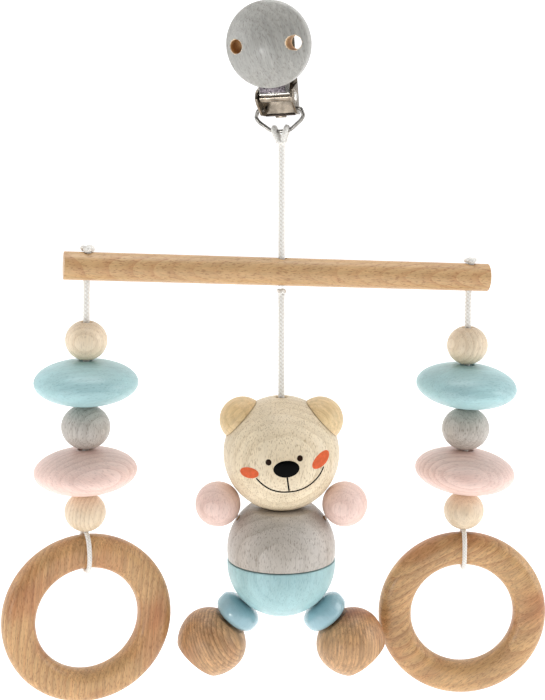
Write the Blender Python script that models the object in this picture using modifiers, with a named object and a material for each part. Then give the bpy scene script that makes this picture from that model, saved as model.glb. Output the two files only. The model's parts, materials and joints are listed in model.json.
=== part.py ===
"""Wooden pram chain: a clip, a cord, a dowel bar, two strands of beads with rings, and a jointed bear.

Metres, +Z up, +X to the viewer's right, -Y towards the viewer. The origin is the point where the
clip's jaw grips, and everything else hangs from there.
"""

from math import acos, asin, cos, pi, radians, sin, sqrt

import bmesh
import bpy
from mathutils import Matrix, Vector

GAP = 0.0003  # between pieces that touch
CUT_OVERRUN = 0.002  # how far a cutter runs past what it cuts
MERGE = 0.00001

# Clip, in its own frame: X across, Y to the back plate, Z towards the jaw
CLIP_YAW = radians(-17)
CLIP_LEAN = radians(-4.25)  # its top leans to the left
PLATE_WIDTH = 0.0162
PLATE_THICKNESS = 0.001
PLATE_TOP = 0.0026
PLATE_BOTTOM = -0.041
PLATE_CORNER = 0.0018
PAD_WIDTH = 0.0132
PAD_THICKNESS = 0.0014
PAD_TOP = 0.0018
PAD_HEIGHT = 0.007
CHEEK_THICKNESS = 0.001
CHEEK_RADIUS = 0.0036
LUG_RADIUS = 0.0024
CHEEK_ROOT_TOP = -0.0275
PIN_RADIUS = 0.0008
PIN_HEAD_RADIUS = 0.0019
PIN_HEAD_HEIGHT = 0.0007
PIN_Y = -0.0034
PIN_Z = -0.033
PIN_CLEARANCE = 0.0003
LEVER_SIDE_GAP = 0.0004
LEVER_THICKNESS = 0.0008
BARREL_RADIUS = 0.0019
LEVER_STRAIGHT_TOP = -0.0035
LEVER_LIP_Z = 0.0009
LEVER_LIP_GAP = 0.00035
COVER_RADIUS = 0.018
COVER_DOME_RADIUS = 0.027
COVER_DOME_EDGE = 0.0172  # radius at which the dome meets the rim
COVER_RIM_HEIGHT = 0.0053
COVER_BACK_ROUND = 0.001
COVER_CENTRE_Z = -0.0108
VENT_RADIUS = 0.00295
VENT_OFFSET = 0.0124
VENT_FLOOR = 0.0015  # wood left behind the left vent
SCREW_RADIUS = 0.00065
SCREW_HEAD_RADIUS = 0.0017
SCREW_HEAD_HEIGHT = 0.0007
SCREW_LENGTH = 0.0055
SCREW_OFFSET = 0.0045
SCREW_CLEARANCE = 0.0003
BAIL_WIRE_RADIUS = 0.0008
BAIL_Z = -0.0382
BAIL_CLEARANCE = 0.0003
BAIL_DEPTH = 0.0092
BAIL_END_INSET = 0.0018
BAIL_BELLY = 0.0103
BAIL_FOOT = 0.0034

# Cords
CORD_RADIUS = 0.0011  # a single braided cord
PAIR_RADIUS = 0.0015  # the same cord doubled and twisted
ELASTIC_RADIUS = 0.001
HITCH_LENGTH = 0.006
HITCH_RADIUS = 0.0023
HITCH_KNOT_RADIUS = 0.0027
HITCH_KNOT_HEIGHT = 0.0036
CLIP_CORD_LENGTH = 0.0488  # hitch to the top of the bar
TWIST_SHARE = 0.5  # where the clip cord is parted for its twist
STOP_KNOT_RADIUS = 0.0026
STOP_KNOT_HEIGHT = 0.003
TOP_KNOT_RADIUS = 0.0031
TOP_KNOT_HEIGHT = 0.0034
BEAR_DROP = 0.0449  # below the stop knot to the top of the head

# Bar
BAR_LENGTH = 0.1845
BAR_RADIUS = 0.006
BAR_END_DOME = 0.0012
BAR_YAW = radians(10)
BAR_TILT = radians(3.1)
BAR_MIDDLE_X = -0.0006  # its middle lies a little left of the centre hole
LEFT_HOLE_INSET = 0.0099  # from the bar's end to the strand's hole
RIGHT_HOLE_INSET = 0.0082
CENTRE_HOLE_RADIUS = 0.0023
STRAND_HOLE_RADIUS = 0.0021

# Beads on the strands
BORE_RADIUS = 0.0027
BORE_LIP = 0.0005
NATURAL_RADIUS = 0.00895
NATURAL_HEIGHT = 0.016
GREY_RADIUS = 0.0105
GREY_HEIGHT = 0.0184
DISC_RADIUS = 0.0222
DISC_HEIGHT = 0.0192
STACK_GAP = 0.0006  # between beads, wide enough for a disc that sits aslant
LEFT_BLUE_SLANT = radians(-1.5)
LEFT_PINK_SLANT = radians(-3.5)
RIGHT_BLUE_SLANT = radians(4.7)
RIGHT_PINK_SLANT = radians(5.5)
LEFT_DROP = 0.0176
RIGHT_DROP = 0.0162
LEFT_LEAN = radians(1.5)  # the left strand hangs a little outwards
RIGHT_LEAN = 0

# Rings
RING_BORE_RADIUS = 0.023
RING_WIDTH = 0.0147
RING_THICKNESS = 0.0115
RING_SQUARENESS = 0.82
RING_TOP_GAP = 0.0022
LEFT_RING_YAW = radians(20)
RIGHT_RING_YAW = radians(0)

# Bear
HEAD_RADIUS = 0.0253
HEAD_CUT = 0.0012  # taken off under the head
HEAD_RECESS_RADIUS = 0.0031
HEAD_RECESS_DEPTH = 0.0005
EAR_RADIUS = 0.0101
EAR_REACH = 0.0225  # from the head's middle to an ear's
EAR_ANGLE = radians(41.6)
TORSO_RADIUS = 0.02385
CHEST_HEIGHT = 0.0234  # from the split to the flat on top
CHEST_RISE = 0.0047  # the upper half's ball has its middle above the split
HIPS_SINK = 0.0018  # and the lower half's below it
TORSO_SPLIT_GAP = 0.0004
TORSO_EDGE = 0.0004
POCKET_RADIUS = 0.0046
POCKET_DEPTH = 0.011
END_KNOT_RADIUS = 0.0035
END_KNOT_HEIGHT = 0.005
HAND_RADIUS = 0.0099
HAND_FLAT = 0.0004
HAND_FORWARD = 0.0035
HAND_HEAD_GAP = 0.0004
ARM_LENGTH = 0.0012  # elastic between torso and hand
LIMB_HOLE_RADIUS = 0.0015
LIMB_HOLE_DEPTH = 0.004
LEG_ANGLE = radians(40)
LEG_BEAD_RADIUS = 0.0102
LEG_BEAD_HEIGHT = 0.011
LEG_BEAD_FULLNESS = 0.72  # 1 is an ellipse, less is fuller
LEG_BEAD_GAP = 0.0005
FOOT_RADIUS = 0.0154
FOOT_LENGTH = 0.0242
FOOT_NECK_RADIUS = 0.008
FOOT_SOLE_RADIUS = 0.0115
FOOT_SOLE_DOME = 0.0016

# How finely things are turned
TURN_STEPS = 28
SMALL_STEPS = 20
RING_STEPS = 36
HOLE_STEPS = 14
ARC_STEPS = 8

COLOURS = {
    "grey_stain": ((0.49, 0.48, 0.47), 0.45, 0.0),
    "nickel": ((0.62, 0.61, 0.58), 0.25, 1.0),
    "clear_plastic": ((0.82, 0.82, 0.80), 0.4, 0.0),
    "cord": ((0.86, 0.85, 0.81), 0.9, 0.0),
    "beech": ((0.73, 0.51, 0.30), 0.5, 0.0),
    "maple": ((0.80, 0.62, 0.42), 0.45, 0.0),
    "blue_stain": ((0.40, 0.61, 0.68), 0.45, 0.0),
    "pink_stain": ((0.78, 0.55, 0.50), 0.45, 0.0),
    "blue_gloss": ((0.30, 0.52, 0.62), 0.2, 0.0),
    "face_wood": ((0.80, 0.66, 0.45), 0.45, 0.0),
}


for old in list(bpy.data.objects):
    bpy.data.objects.remove(old, do_unlink=True)

pieces = bpy.data.collections.new("pram_chain")
cutters = bpy.data.collections.new("cutters")
bpy.context.scene.collection.children.link(pieces)
bpy.context.scene.collection.children.link(cutters)


def finish_for(name, colour):
    """A Principled material of its own for each piece."""
    base, roughness, metallic = COLOURS[colour]
    material = bpy.data.materials.new(name)
    material.use_nodes = True
    shader = material.node_tree.nodes["Principled BSDF"]
    shader.inputs["Base Color"].default_value = (*base, 1)
    shader.inputs["Roughness"].default_value = roughness
    shader.inputs["Metallic"].default_value = metallic
    return material


def add(name, data, colour=None, parent=None, location=(0, 0, 0), rotation=(0, 0, 0)):
    """Links an object: a piece where a colour is given, otherwise a cutter."""
    thing = bpy.data.objects.new(name, data)
    thing.location = location
    thing.rotation_euler = rotation
    thing.parent = parent
    if colour:
        pieces.objects.link(thing)
        data.materials.append(finish_for(name, colour))
    else:
        cutters.objects.link(thing)
        thing.hide_render = True
        thing.display_type = "WIRE"
    return thing


def axis_empty(name, location=(0, 0, 0), rotation=(0, 0, 0), parent=None):
    """A joint's own frame, which the pieces that move with it hang from."""
    empty = bpy.data.objects.new(name, None)
    empty.location = location
    empty.rotation_euler = rotation
    empty.parent = parent
    empty.empty_display_size = 0.004
    pieces.objects.link(empty)
    return empty


def turned(name, profile, steps, closed, **place):
    """A profile of (radius, height) points, run down its outer side, turned about its own Z."""
    mesh = bpy.data.meshes.new(name)
    count = len(profile)
    edges = [(i, i + 1) for i in range(count - 1)]
    if closed:
        edges.append((count - 1, 0))
    mesh.from_pydata([(r, 0, z) for r, z in profile], edges, [])
    thing = add(name, mesh, **place)
    screw = thing.modifiers.new("turn", "SCREW")
    screw.steps = screw.render_steps = steps
    screw.use_merge_vertices = True
    screw.merge_threshold = MERGE
    screw.use_smooth_shade = True
    return thing


def tube(name, points, radius, resolution=2, taper=None, **place):
    """A wire or cord along points, which may narrow at its ends."""
    curve = bpy.data.curves.new(name, "CURVE")
    curve.dimensions = "3D"
    curve.bevel_depth = radius
    curve.bevel_resolution = resolution
    curve.use_fill_caps = True
    spline = curve.splines.new("POLY")
    spline.points.add(len(points) - 1)
    for i, point in enumerate(points):
        spline.points[i].co = (*point, 1)
        spline.points[i].radius = taper[i] if taper else 1
    return add(name, curve, **place)


def cylinder_mesh(name, radius, length, steps=HOLE_STEPS, turn=None):
    """A plain cylinder about Z, which turn may lay over."""
    mesh = bpy.data.meshes.new(name)
    bm = bmesh.new()
    bmesh.ops.create_cone(
        bm, cap_ends=True, segments=steps, radius1=radius, radius2=radius, depth=length
    )
    if turn:
        bmesh.ops.transform(bm, matrix=turn, verts=bm.verts)
    bm.to_mesh(mesh)
    bm.free()
    return mesh


def box_mesh(name, low, high):
    """A box between two corners."""
    mesh = bpy.data.meshes.new(name)
    bm = bmesh.new()
    bmesh.ops.create_cube(bm, size=1)
    low, high = Vector(low), Vector(high)
    size, middle = high - low, (low + high) / 2
    bmesh.ops.scale(bm, vec=size, verts=bm.verts)
    bmesh.ops.translate(bm, vec=middle, verts=bm.verts)
    bm.to_mesh(mesh)
    bm.free()
    return mesh


def combine(thing, cutter, operation="DIFFERENCE"):
    """Cuts or joins with the exact solver."""
    boolean = thing.modifiers.new(cutter.name, "BOOLEAN")
    boolean.operation = operation
    boolean.solver = "EXACT"
    boolean.object = cutter
    return thing


def drill(thing, name, radius, length, location, rotation=(0, 0, 0), parent=None, steps=HOLE_STEPS):
    """A round hole."""
    mesh = cylinder_mesh(name, radius, length, steps)
    return combine(thing, add(name, mesh, None, parent, location, rotation))


def arc(radius, start, end, steps, centre=(0, 0)):
    """Points (radius, height) of a circle's arc, angles from the outward direction."""
    angles = [start + (end - start) * i / steps for i in range(steps + 1)]
    return [(centre[0] + radius * cos(a), centre[1] + radius * sin(a)) for a in angles]


def oval_bead(radius, height, bore, lip, steps, fullness=1):
    """A bead whose side is part of an ellipse, or fuller than one, with a flat lip round its bore."""
    edge = acos(((bore + lip) / radius) ** (1 / fullness))
    rise = height / 2 / sin(edge) ** fullness
    upper = []
    for i in range(steps // 2):
        a = edge * (1 - 2 * i / steps)
        upper.append((radius * cos(a) ** fullness, rise * sin(a) ** fullness))
    lower = [(r, -z) for r, z in reversed(upper)]
    return upper + [(radius, 0)] + lower + [(bore, -height / 2), (bore, height / 2)]


def knot(radius, height, steps=6):
    """Half an ellipse: a pulled knot, as turned."""
    angles = [pi / 2 - pi * i / steps for i in range(steps + 1)]
    return [(radius * cos(a) if 0 < i < steps else 0, height / 2 * sin(a)) for i, a in enumerate(angles)]


def straight(start, end, radius, rounded=True):
    """Points and tapers of a cord along Z, whose first end may be rounded about its start."""
    count = max(2, round(abs(end - start) / (5 * radius)))
    points = [(0, 0, start + (end - start) * i / count) for i in range(count + 1)]
    if not rounded:
        return points, [1] * len(points)
    out = radius if end < start else -radius
    cap = [(1, 0.25), (0.8, 0.62), (0.4, 0.92)]
    points = [(0, 0, start + share * out) for share, _ in cap] + points
    return points, [taper for _, taper in cap] + [1] * (count + 1)


# Clip
cheek_inner = PLATE_WIDTH / 2 - CHEEK_THICKNESS
lever_half = cheek_inner - LEVER_SIDE_GAP
pad_front = GAP / 2
plate_front = pad_front + PAD_THICKNESS + GAP
plate_back = plate_front + PLATE_THICKNESS
lever_face = PIN_Y - BARREL_RADIUS  # front of the lever's plate
cover_back = lever_face - GAP
across = Matrix.Rotation(pi / 2, 4, "Y")  # lays a cylinder along X

clip_lean_frame = axis_empty("clip_lean_frame", rotation=(0, CLIP_LEAN, 0))
clip_frame = axis_empty("clip_frame", rotation=(0, 0, CLIP_YAW), parent=clip_lean_frame)


def hull_mesh(name, points):
    """The convex hull of some points."""
    mesh = bpy.data.meshes.new(name)
    bm = bmesh.new()
    for point in points:
        bm.verts.new(point)
    bmesh.ops.convex_hull(bm, input=bm.verts)
    loose = [v for v in bm.verts if not v.link_faces]
    bmesh.ops.delete(bm, geom=loose, context="VERTS")
    bmesh.ops.recalc_face_normals(bm, faces=bm.faces)
    bm.to_mesh(mesh)
    bm.free()
    return mesh


def build_clip_body():
    """Back plate with its cheeks, the jaw pad and the hinge pin."""
    half, corner = PLATE_WIDTH / 2, PLATE_CORNER
    outline = [(-half, PLATE_BOTTOM), (half, PLATE_BOTTOM)]
    outline += arc(corner, 0, pi / 2, 4, (half - corner, PLATE_TOP - corner))
    outline += arc(corner, pi / 2, pi, 4, (corner - half, PLATE_TOP - corner))
    points = [(x, y, z) for x, z in outline for y in (plate_front, plate_back)]
    plate = add("clip_back_plate", hull_mesh("clip_back_plate", points), "nickel", clip_frame)
    outline = [(y, z) for y in (plate_front, plate_back) for z in (CHEEK_ROOT_TOP, PLATE_BOTTOM)]
    outline += arc(CHEEK_RADIUS, 0, 2 * pi, 20, (PIN_Y, PIN_Z))[:-1]
    outline += arc(LUG_RADIUS, 0, 2 * pi, 20, (0, BAIL_Z))[:-1]
    for side, name in ((-1, "cheek_left"), (1, "cheek_right")):
        points = [(side * x, y, z) for y, z in outline for x in (cheek_inner, half)]
        combine(plate, add(name, hull_mesh(name, points), None, clip_frame), "UNION")
    width = PLATE_WIDTH + CUT_OVERRUN
    for name, radius, y, z in (
        ("pin_hole", PIN_RADIUS + PIN_CLEARANCE, PIN_Y, PIN_Z),
        ("bail_hole", BAIL_WIRE_RADIUS + BAIL_CLEARANCE, 0, BAIL_Z),
    ):
        drill(plate, name, radius, width, (0, y, z), (0, pi / 2, 0), clip_frame)

    low = (-PAD_WIDTH / 2, pad_front, PAD_TOP - PAD_HEIGHT)
    high = (PAD_WIDTH / 2, pad_front + PAD_THICKNESS, PAD_TOP)
    add("clip_jaw_pad", box_mesh("clip_jaw_pad", low, high), "clear_plastic", clip_frame)

    reach = PLATE_WIDTH / 2 + GAP
    head = reach + PIN_HEAD_HEIGHT
    pin = [(0, head), (PIN_HEAD_RADIUS * 0.7, head), (PIN_HEAD_RADIUS, head - PIN_HEAD_HEIGHT / 2)]
    pin += [(PIN_HEAD_RADIUS, reach), (PIN_RADIUS, reach)]
    pin += [(r, -z) for r, z in reversed(pin)]
    turned(
        "clip_hinge_pin",
        pin,
        HOLE_STEPS,
        False,
        colour="nickel",
        parent=clip_frame,
        location=(0, PIN_Y, PIN_Z),
        rotation=(0, pi / 2, 0),
    )


def strip_outline(line, thickness):
    """The outline of a strip of sheet bent along a line of (y, z) points."""
    left, right = [], []
    for i, (y, z) in enumerate(line):
        before, after = line[max(i - 1, 0)], line[min(i + 1, len(line) - 1)]
        run, rise = after[0] - before[0], after[1] - before[1]
        scale = thickness / 2 / sqrt(run**2 + rise**2)
        left.append((y - rise * scale, z + run * scale))
        right.append((y + rise * scale, z - run * scale))
    return left + right[::-1]


def build_clip_front():
    """The lever that swings on the pin, its wooden cover and the two screws between them."""
    hinge = axis_empty("clip_open_axis", (0, PIN_Y, PIN_Z), parent=clip_frame)
    sheet = -BARREL_RADIUS + LEVER_THICKNESS / 2
    straight_top = LEVER_STRAIGHT_TOP - PIN_Z
    lip_z = LEVER_LIP_Z - PIN_Z
    lip_y = pad_front - LEVER_LIP_GAP - PIN_Y
    line = [(sheet, 0), (sheet, straight_top)]
    bend_steps = 5
    for i in range(1, bend_steps + 1):
        a = pi / 2 * i / bend_steps
        line.append((sheet + (lip_y - sheet) * (1 - cos(a)), straight_top + (lip_z - straight_top) * sin(a)))

    outline = bpy.data.curves.new("clip_lever", "CURVE")
    outline.dimensions = "2D"
    outline.fill_mode = "BOTH"
    outline.extrude = lever_half
    spline = outline.splines.new("POLY")
    points = strip_outline(line, LEVER_THICKNESS)
    spline.points.add(len(points) - 1)
    for point, (y, z) in zip(spline.points, points):
        point.co = (y, z, 0, 1)
    spline.use_cyclic_u = True
    upright = (pi / 2, 0, pi / 2)  # carries the outline's X and Y to Y and Z
    flat = add("clip_lever_outline", outline, None, hinge, rotation=upright)
    bpy.context.view_layer.update()
    solid = bpy.data.meshes.new_from_object(flat.evaluated_get(bpy.context.evaluated_depsgraph_get()))
    bpy.data.objects.remove(flat)
    bm = bmesh.new()
    bm.from_mesh(solid)
    bmesh.ops.remove_doubles(bm, verts=bm.verts, dist=MERGE)
    bm.to_mesh(solid)
    bm.free()
    solid.name = "clip_lever"
    lever = add("clip_lever", solid, "nickel", hinge, rotation=upright)
    barrel = cylinder_mesh("barrel", BARREL_RADIUS, 2 * lever_half, 20)
    combine(lever, add("barrel", barrel, None, hinge, rotation=(0, pi / 2, 0)), "UNION")
    bore = 2 * lever_half + CUT_OVERRUN
    drill(lever, "barrel_bore", PIN_RADIUS + PIN_CLEARANCE, bore, (0, 0, 0), (0, pi / 2, 0), hinge)

    cover_z = COVER_CENTRE_Z - PIN_Z
    cover_y = cover_back - PIN_Y
    crown = COVER_RIM_HEIGHT + COVER_DOME_RADIUS - sqrt(COVER_DOME_RADIUS**2 - COVER_DOME_EDGE**2)
    reach = asin(COVER_DOME_EDGE / COVER_DOME_RADIUS)
    centre = crown - COVER_DOME_RADIUS
    dome = arc(COVER_DOME_RADIUS, pi / 2, pi / 2 - reach, ARC_STEPS, (0, centre))
    dome[0] = (0, crown)
    rim = COVER_RADIUS - COVER_DOME_EDGE
    side = [(COVER_RADIUS - rim * 0.25, COVER_RIM_HEIGHT - rim * 0.35), (COVER_RADIUS, COVER_RIM_HEIGHT - rim)]
    back = arc(COVER_BACK_ROUND, 0, -pi / 2, 3, (COVER_RADIUS - COVER_BACK_ROUND, COVER_BACK_ROUND))
    cover = turned(
        "clip_wood_cover",
        dome + side + back + [(0, 0)],
        TURN_STEPS + 4,
        False,
        colour="grey_stain",
        parent=hinge,
        location=(0, cover_y, cover_z),
        rotation=(pi / 2, 0, 0),
    )
    depth = 2 * crown + CUT_OVERRUN
    for x, name, back in ((-VENT_OFFSET, "vent_left", depth / 2 + VENT_FLOOR), (VENT_OFFSET, "vent_right", 0)):
        drill(cover, name, VENT_RADIUS, depth, (x, cover_y - back, cover_z), (pi / 2, 0, 0), hinge, SMALL_STEPS)

    sheet_back = LEVER_THICKNESS - BARREL_RADIUS
    shank = SCREW_RADIUS + SCREW_CLEARANCE
    profile = [(0, SCREW_LENGTH), (SCREW_RADIUS, SCREW_LENGTH - SCREW_RADIUS), (SCREW_RADIUS, 0)]
    profile += [(SCREW_HEAD_RADIUS, 0), (SCREW_HEAD_RADIUS * 0.8, -SCREW_HEAD_HEIGHT), (0, -SCREW_HEAD_HEIGHT)]
    forward = (pi / 2, 0, 0)
    pilot = 2 * (SCREW_LENGTH + GAP - LEVER_THICKNESS)
    for side, name in ((-1, "cover_screw_lower"), (1, "cover_screw_upper")):
        z = cover_z + side * SCREW_OFFSET
        drill(lever, f"{name}_hole", shank, 3 * LEVER_THICKNESS, (0, sheet_back, z), forward, hinge)
        drill(cover, f"{name}_pilot", shank, pilot, (0, cover_y, z), forward, hinge)
        place = (0, sheet_back + GAP, z)
        turned(name, profile, HOLE_STEPS, False, colour="nickel", parent=hinge, location=place, rotation=forward)


def build_bail():
    """The wire loop under the clip, sprung into its cheeks, and the hitch that ties the cord to it."""
    bail_axis = axis_empty("bail_axis", (0, 0, BAIL_Z), parent=clip_frame)
    outside = PLATE_WIDTH / 2
    half = [
        (outside - BAIL_END_INSET * 2, 0),
        (outside + 0.0004, 0),
        (outside + 0.0014, -0.0004),
        (BAIL_BELLY - 0.0003, -0.0017),
        (BAIL_BELLY, -0.0032),
        (BAIL_BELLY - 0.0012, -0.005),
        (BAIL_BELLY - 0.0032, -0.0066),
        (BAIL_FOOT + 0.0016, -0.0082),
        (BAIL_FOOT, -BAIL_DEPTH + 0.0002),
        (0.0012, -BAIL_DEPTH),
    ]
    points = [(-x, 0, z) for x, z in half] + [(x, 0, z) for x, z in reversed(half)]
    tube("wire_bail", points, BAIL_WIRE_RADIUS, colour="nickel", parent=bail_axis)

    wrap = cylinder_mesh("cord_hitch", HITCH_RADIUS, HITCH_LENGTH, 16, across)
    hitch = add("cord_hitch", wrap, "cord", bail_axis, (0, 0, -BAIL_DEPTH))
    profile = knot(HITCH_KNOT_RADIUS, HITCH_KNOT_HEIGHT)
    drop = HITCH_RADIUS + HITCH_KNOT_HEIGHT / 4
    under = turned(
        "hitch_knot", profile, 14, False, colour=None, parent=bail_axis, location=(0, 0, -BAIL_DEPTH - drop)
    )
    combine(hitch, under, "UNION")
    bore = BAIL_WIRE_RADIUS + 2 * BAIL_CLEARANCE
    drill(hitch, "hitch_bore", bore, HITCH_LENGTH * 2, (0, 0, -BAIL_DEPTH), (0, pi / 2, 0), bail_axis)
    knot_bottom = BAIL_Z - BAIL_DEPTH - drop - HITCH_KNOT_HEIGHT / 2
    return Matrix.Rotation(CLIP_LEAN, 3, "Y") @ Vector((0, 0, knot_bottom))


def build_clip_cord(hang):
    """The doubled cord from the hitch through the bar, parted once for its twist, and the knot under the bar."""
    swing_z = hang.z - GAP - PAIR_RADIUS
    bar_z = hang.z - CLIP_CORD_LENGTH - BAR_RADIUS
    swing = axis_empty("cord_swing_axis", (hang.x, 0, swing_z))
    part_z = -TWIST_SHARE * CLIP_CORD_LENGTH
    points, taper = straight(0, part_z, PAIR_RADIUS)
    tube("clip_cord_upper", points, PAIR_RADIUS, taper=taper, colour="cord", parent=swing)
    twist = axis_empty("cord_twist_axis", (0, 0, part_z - GAP), parent=swing)
    exit_z = bar_z - BAR_RADIUS - swing_z - part_z + GAP
    points, taper = straight(0, exit_z, PAIR_RADIUS, rounded=False)
    tube("clip_cord_lower", points, PAIR_RADIUS, taper=taper, colour="cord", parent=twist)
    knot_z = exit_z - GAP - STOP_KNOT_HEIGHT / 2
    turned(
        "centre_stop_knot",
        knot(STOP_KNOT_RADIUS, STOP_KNOT_HEIGHT),
        14,
        False,
        colour="cord",
        parent=twist,
        location=(0, 0, knot_z),
    )
    return bar_z, bar_z - BAR_RADIUS - GAP - STOP_KNOT_HEIGHT


def build_bar(hang_x, bar_z):
    """The dowel, drilled three times across, with the knots that end the strands on top of it."""
    bar_axis = axis_empty("bar_tilt_axis", (hang_x, 0, bar_z), (0, BAR_TILT, BAR_YAW))
    half = BAR_LENGTH / 2
    end = [(0, half), (BAR_RADIUS * 0.55, half - BAR_END_DOME * 0.2), (BAR_RADIUS * 0.9, half - BAR_END_DOME * 0.7)]
    end += [(BAR_RADIUS, half - BAR_END_DOME * 1.3)]
    profile = end + [(r, -z) for r, z in reversed(end)]
    bar = turned(
        "trapeze_bar",
        profile,
        TURN_STEPS,
        False,
        colour="beech",
        parent=bar_axis,
        location=(BAR_MIDDLE_X, 0, 0),
        rotation=(0, pi / 2, 0),
    )
    through = 2 * BAR_RADIUS + CUT_OVERRUN
    drill(bar, "centre_hole", CENTRE_HOLE_RADIUS, through, (0, 0, 0), parent=bar_axis)
    exits = {}
    for side, word, inset in ((-1, "left", LEFT_HOLE_INSET), (1, "right", RIGHT_HOLE_INSET)):
        x = BAR_MIDDLE_X + side * (half - inset)
        drill(bar, f"{word}_hole", STRAND_HOLE_RADIUS, through, (x, 0, 0), parent=bar_axis)
        bump = [(r, z + TOP_KNOT_HEIGHT / 2) for r, z in knot(TOP_KNOT_RADIUS, TOP_KNOT_HEIGHT)[:-1]]
        tail = BAR_RADIUS - PAIR_RADIUS - GAP
        stem = [(PAIR_RADIUS, bump[-1][1] * 0.5), (PAIR_RADIUS, -BAR_RADIUS - GAP - tail)]
        profile = bump[:-1] + stem + [(0, -BAR_RADIUS - GAP - tail)]
        turned(
            f"{word}_top_knot",
            profile,
            14,
            False,
            colour="cord",
            parent=bar_axis,
            location=(x, 0, BAR_RADIUS + GAP),
        )
        turn = Matrix.Rotation(BAR_YAW, 3, "Z") @ Matrix.Rotation(BAR_TILT, 3, "Y")
        exits[word] = turn @ Vector((x, 0, -BAR_RADIUS)) + bar_axis.location
    return exits


def ring_section(spread=0):
    """A ring's section, an ellipse squared off a little, or the line that runs round it at a distance."""
    steps = 16
    points = []
    for i in range(steps):
        a = pi / 2 - 2 * pi * i / steps
        out = abs(cos(a)) ** RING_SQUARENESS * (1 if cos(a) >= 0 else -1)
        up = abs(sin(a)) ** RING_SQUARENESS * (1 if sin(a) >= 0 else -1)
        points.append(Vector((RING_WIDTH / 2 * out, RING_THICKNESS / 2 * up)))
    if not spread:
        return points
    round_it = []
    for i, point in enumerate(points):
        run = points[(i + 1) % steps] - points[i - 1]
        round_it.append(point + Vector((-run.y, run.x)).normalized() * spread)
    return round_it


def build_strand(word, exit_point, drop, lean, blue_slant, pink_slant, ring_yaw):
    """One strand: its cord, five beads, the loop under them and the ring on the loop."""
    frame = axis_empty(f"{word}_strand_axis", exit_point, (0, lean, 0))
    turned(f"{word}_cord_bend", knot(PAIR_RADIUS, 2 * PAIR_RADIUS), 12, False, colour="cord", parent=frame)
    beads = (
        ("natural_bead_top", NATURAL_RADIUS, NATURAL_HEIGHT, 0, SMALL_STEPS, "maple"),
        ("blue_disc", DISC_RADIUS, DISC_HEIGHT, blue_slant, TURN_STEPS, "blue_stain"),
        ("grey_bead", GREY_RADIUS, GREY_HEIGHT, 0, SMALL_STEPS, "grey_stain"),
        ("pink_disc", DISC_RADIUS, DISC_HEIGHT, pink_slant, TURN_STEPS, "pink_stain"),
        ("natural_bead_bottom", NATURAL_RADIUS, NATURAL_HEIGHT, 0, SMALL_STEPS, "maple"),
    )
    top = -drop
    for name, radius, height, slant, steps, colour in beads:
        profile = oval_bead(radius, height, BORE_RADIUS, BORE_LIP, 10)
        place = (0, 0, top - height / 2)
        turn = (0, slant, 0)
        turned(f"{word}_{name}", profile, steps, True, colour=colour, parent=frame, location=place, rotation=turn)
        top -= height + STACK_GAP
    foot = top + STACK_GAP  # the underside of the last bead
    points, taper = straight(-PAIR_RADIUS - GAP, foot + 2 * CORD_RADIUS, PAIR_RADIUS, rounded=False)
    tube(f"{word}_strand_cord", points, PAIR_RADIUS, taper=taper, colour="cord", parent=frame)

    upright = Matrix.Rotation(-lean, 3, "Y") @ Matrix.Rotation(ring_yaw, 3, "Z")
    loop_axis = axis_empty(f"{word}_ring_swing_axis", (0, 0, foot), upright.to_euler(), frame)
    section_z = -RING_TOP_GAP - RING_WIDTH / 2
    legs = ring_section(CORD_RADIUS + GAP)
    quarter = len(legs) // 4
    round_it = legs[quarter + 1 :] + legs[:quarter]  # from one side of the top round to the other
    loop = [(0, y, section_z + x) for x, y in round_it]
    inside = CORD_RADIUS + GAP
    side = 1 if loop[0][1] > 0 else -1
    start = [(0, side * inside, z) for z in (0, -RING_TOP_GAP / 3)]
    end = [(0, -y, z) for _, y, z in reversed(start)]
    tube(f"{word}_ring_loop", start + loop + end, CORD_RADIUS, colour="cord", parent=loop_axis)
    ring_radius = RING_BORE_RADIUS + RING_WIDTH
    middle = RING_BORE_RADIUS + RING_WIDTH / 2
    turned(
        f"{word}_ring",
        [(middle + x, z) for x, z in ring_section()],
        RING_STEPS,
        True,
        colour="beech",
        parent=loop_axis,
        location=(0, 0, -RING_TOP_GAP - ring_radius),
        rotation=(pi / 2, 0, 0),
    )


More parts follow.
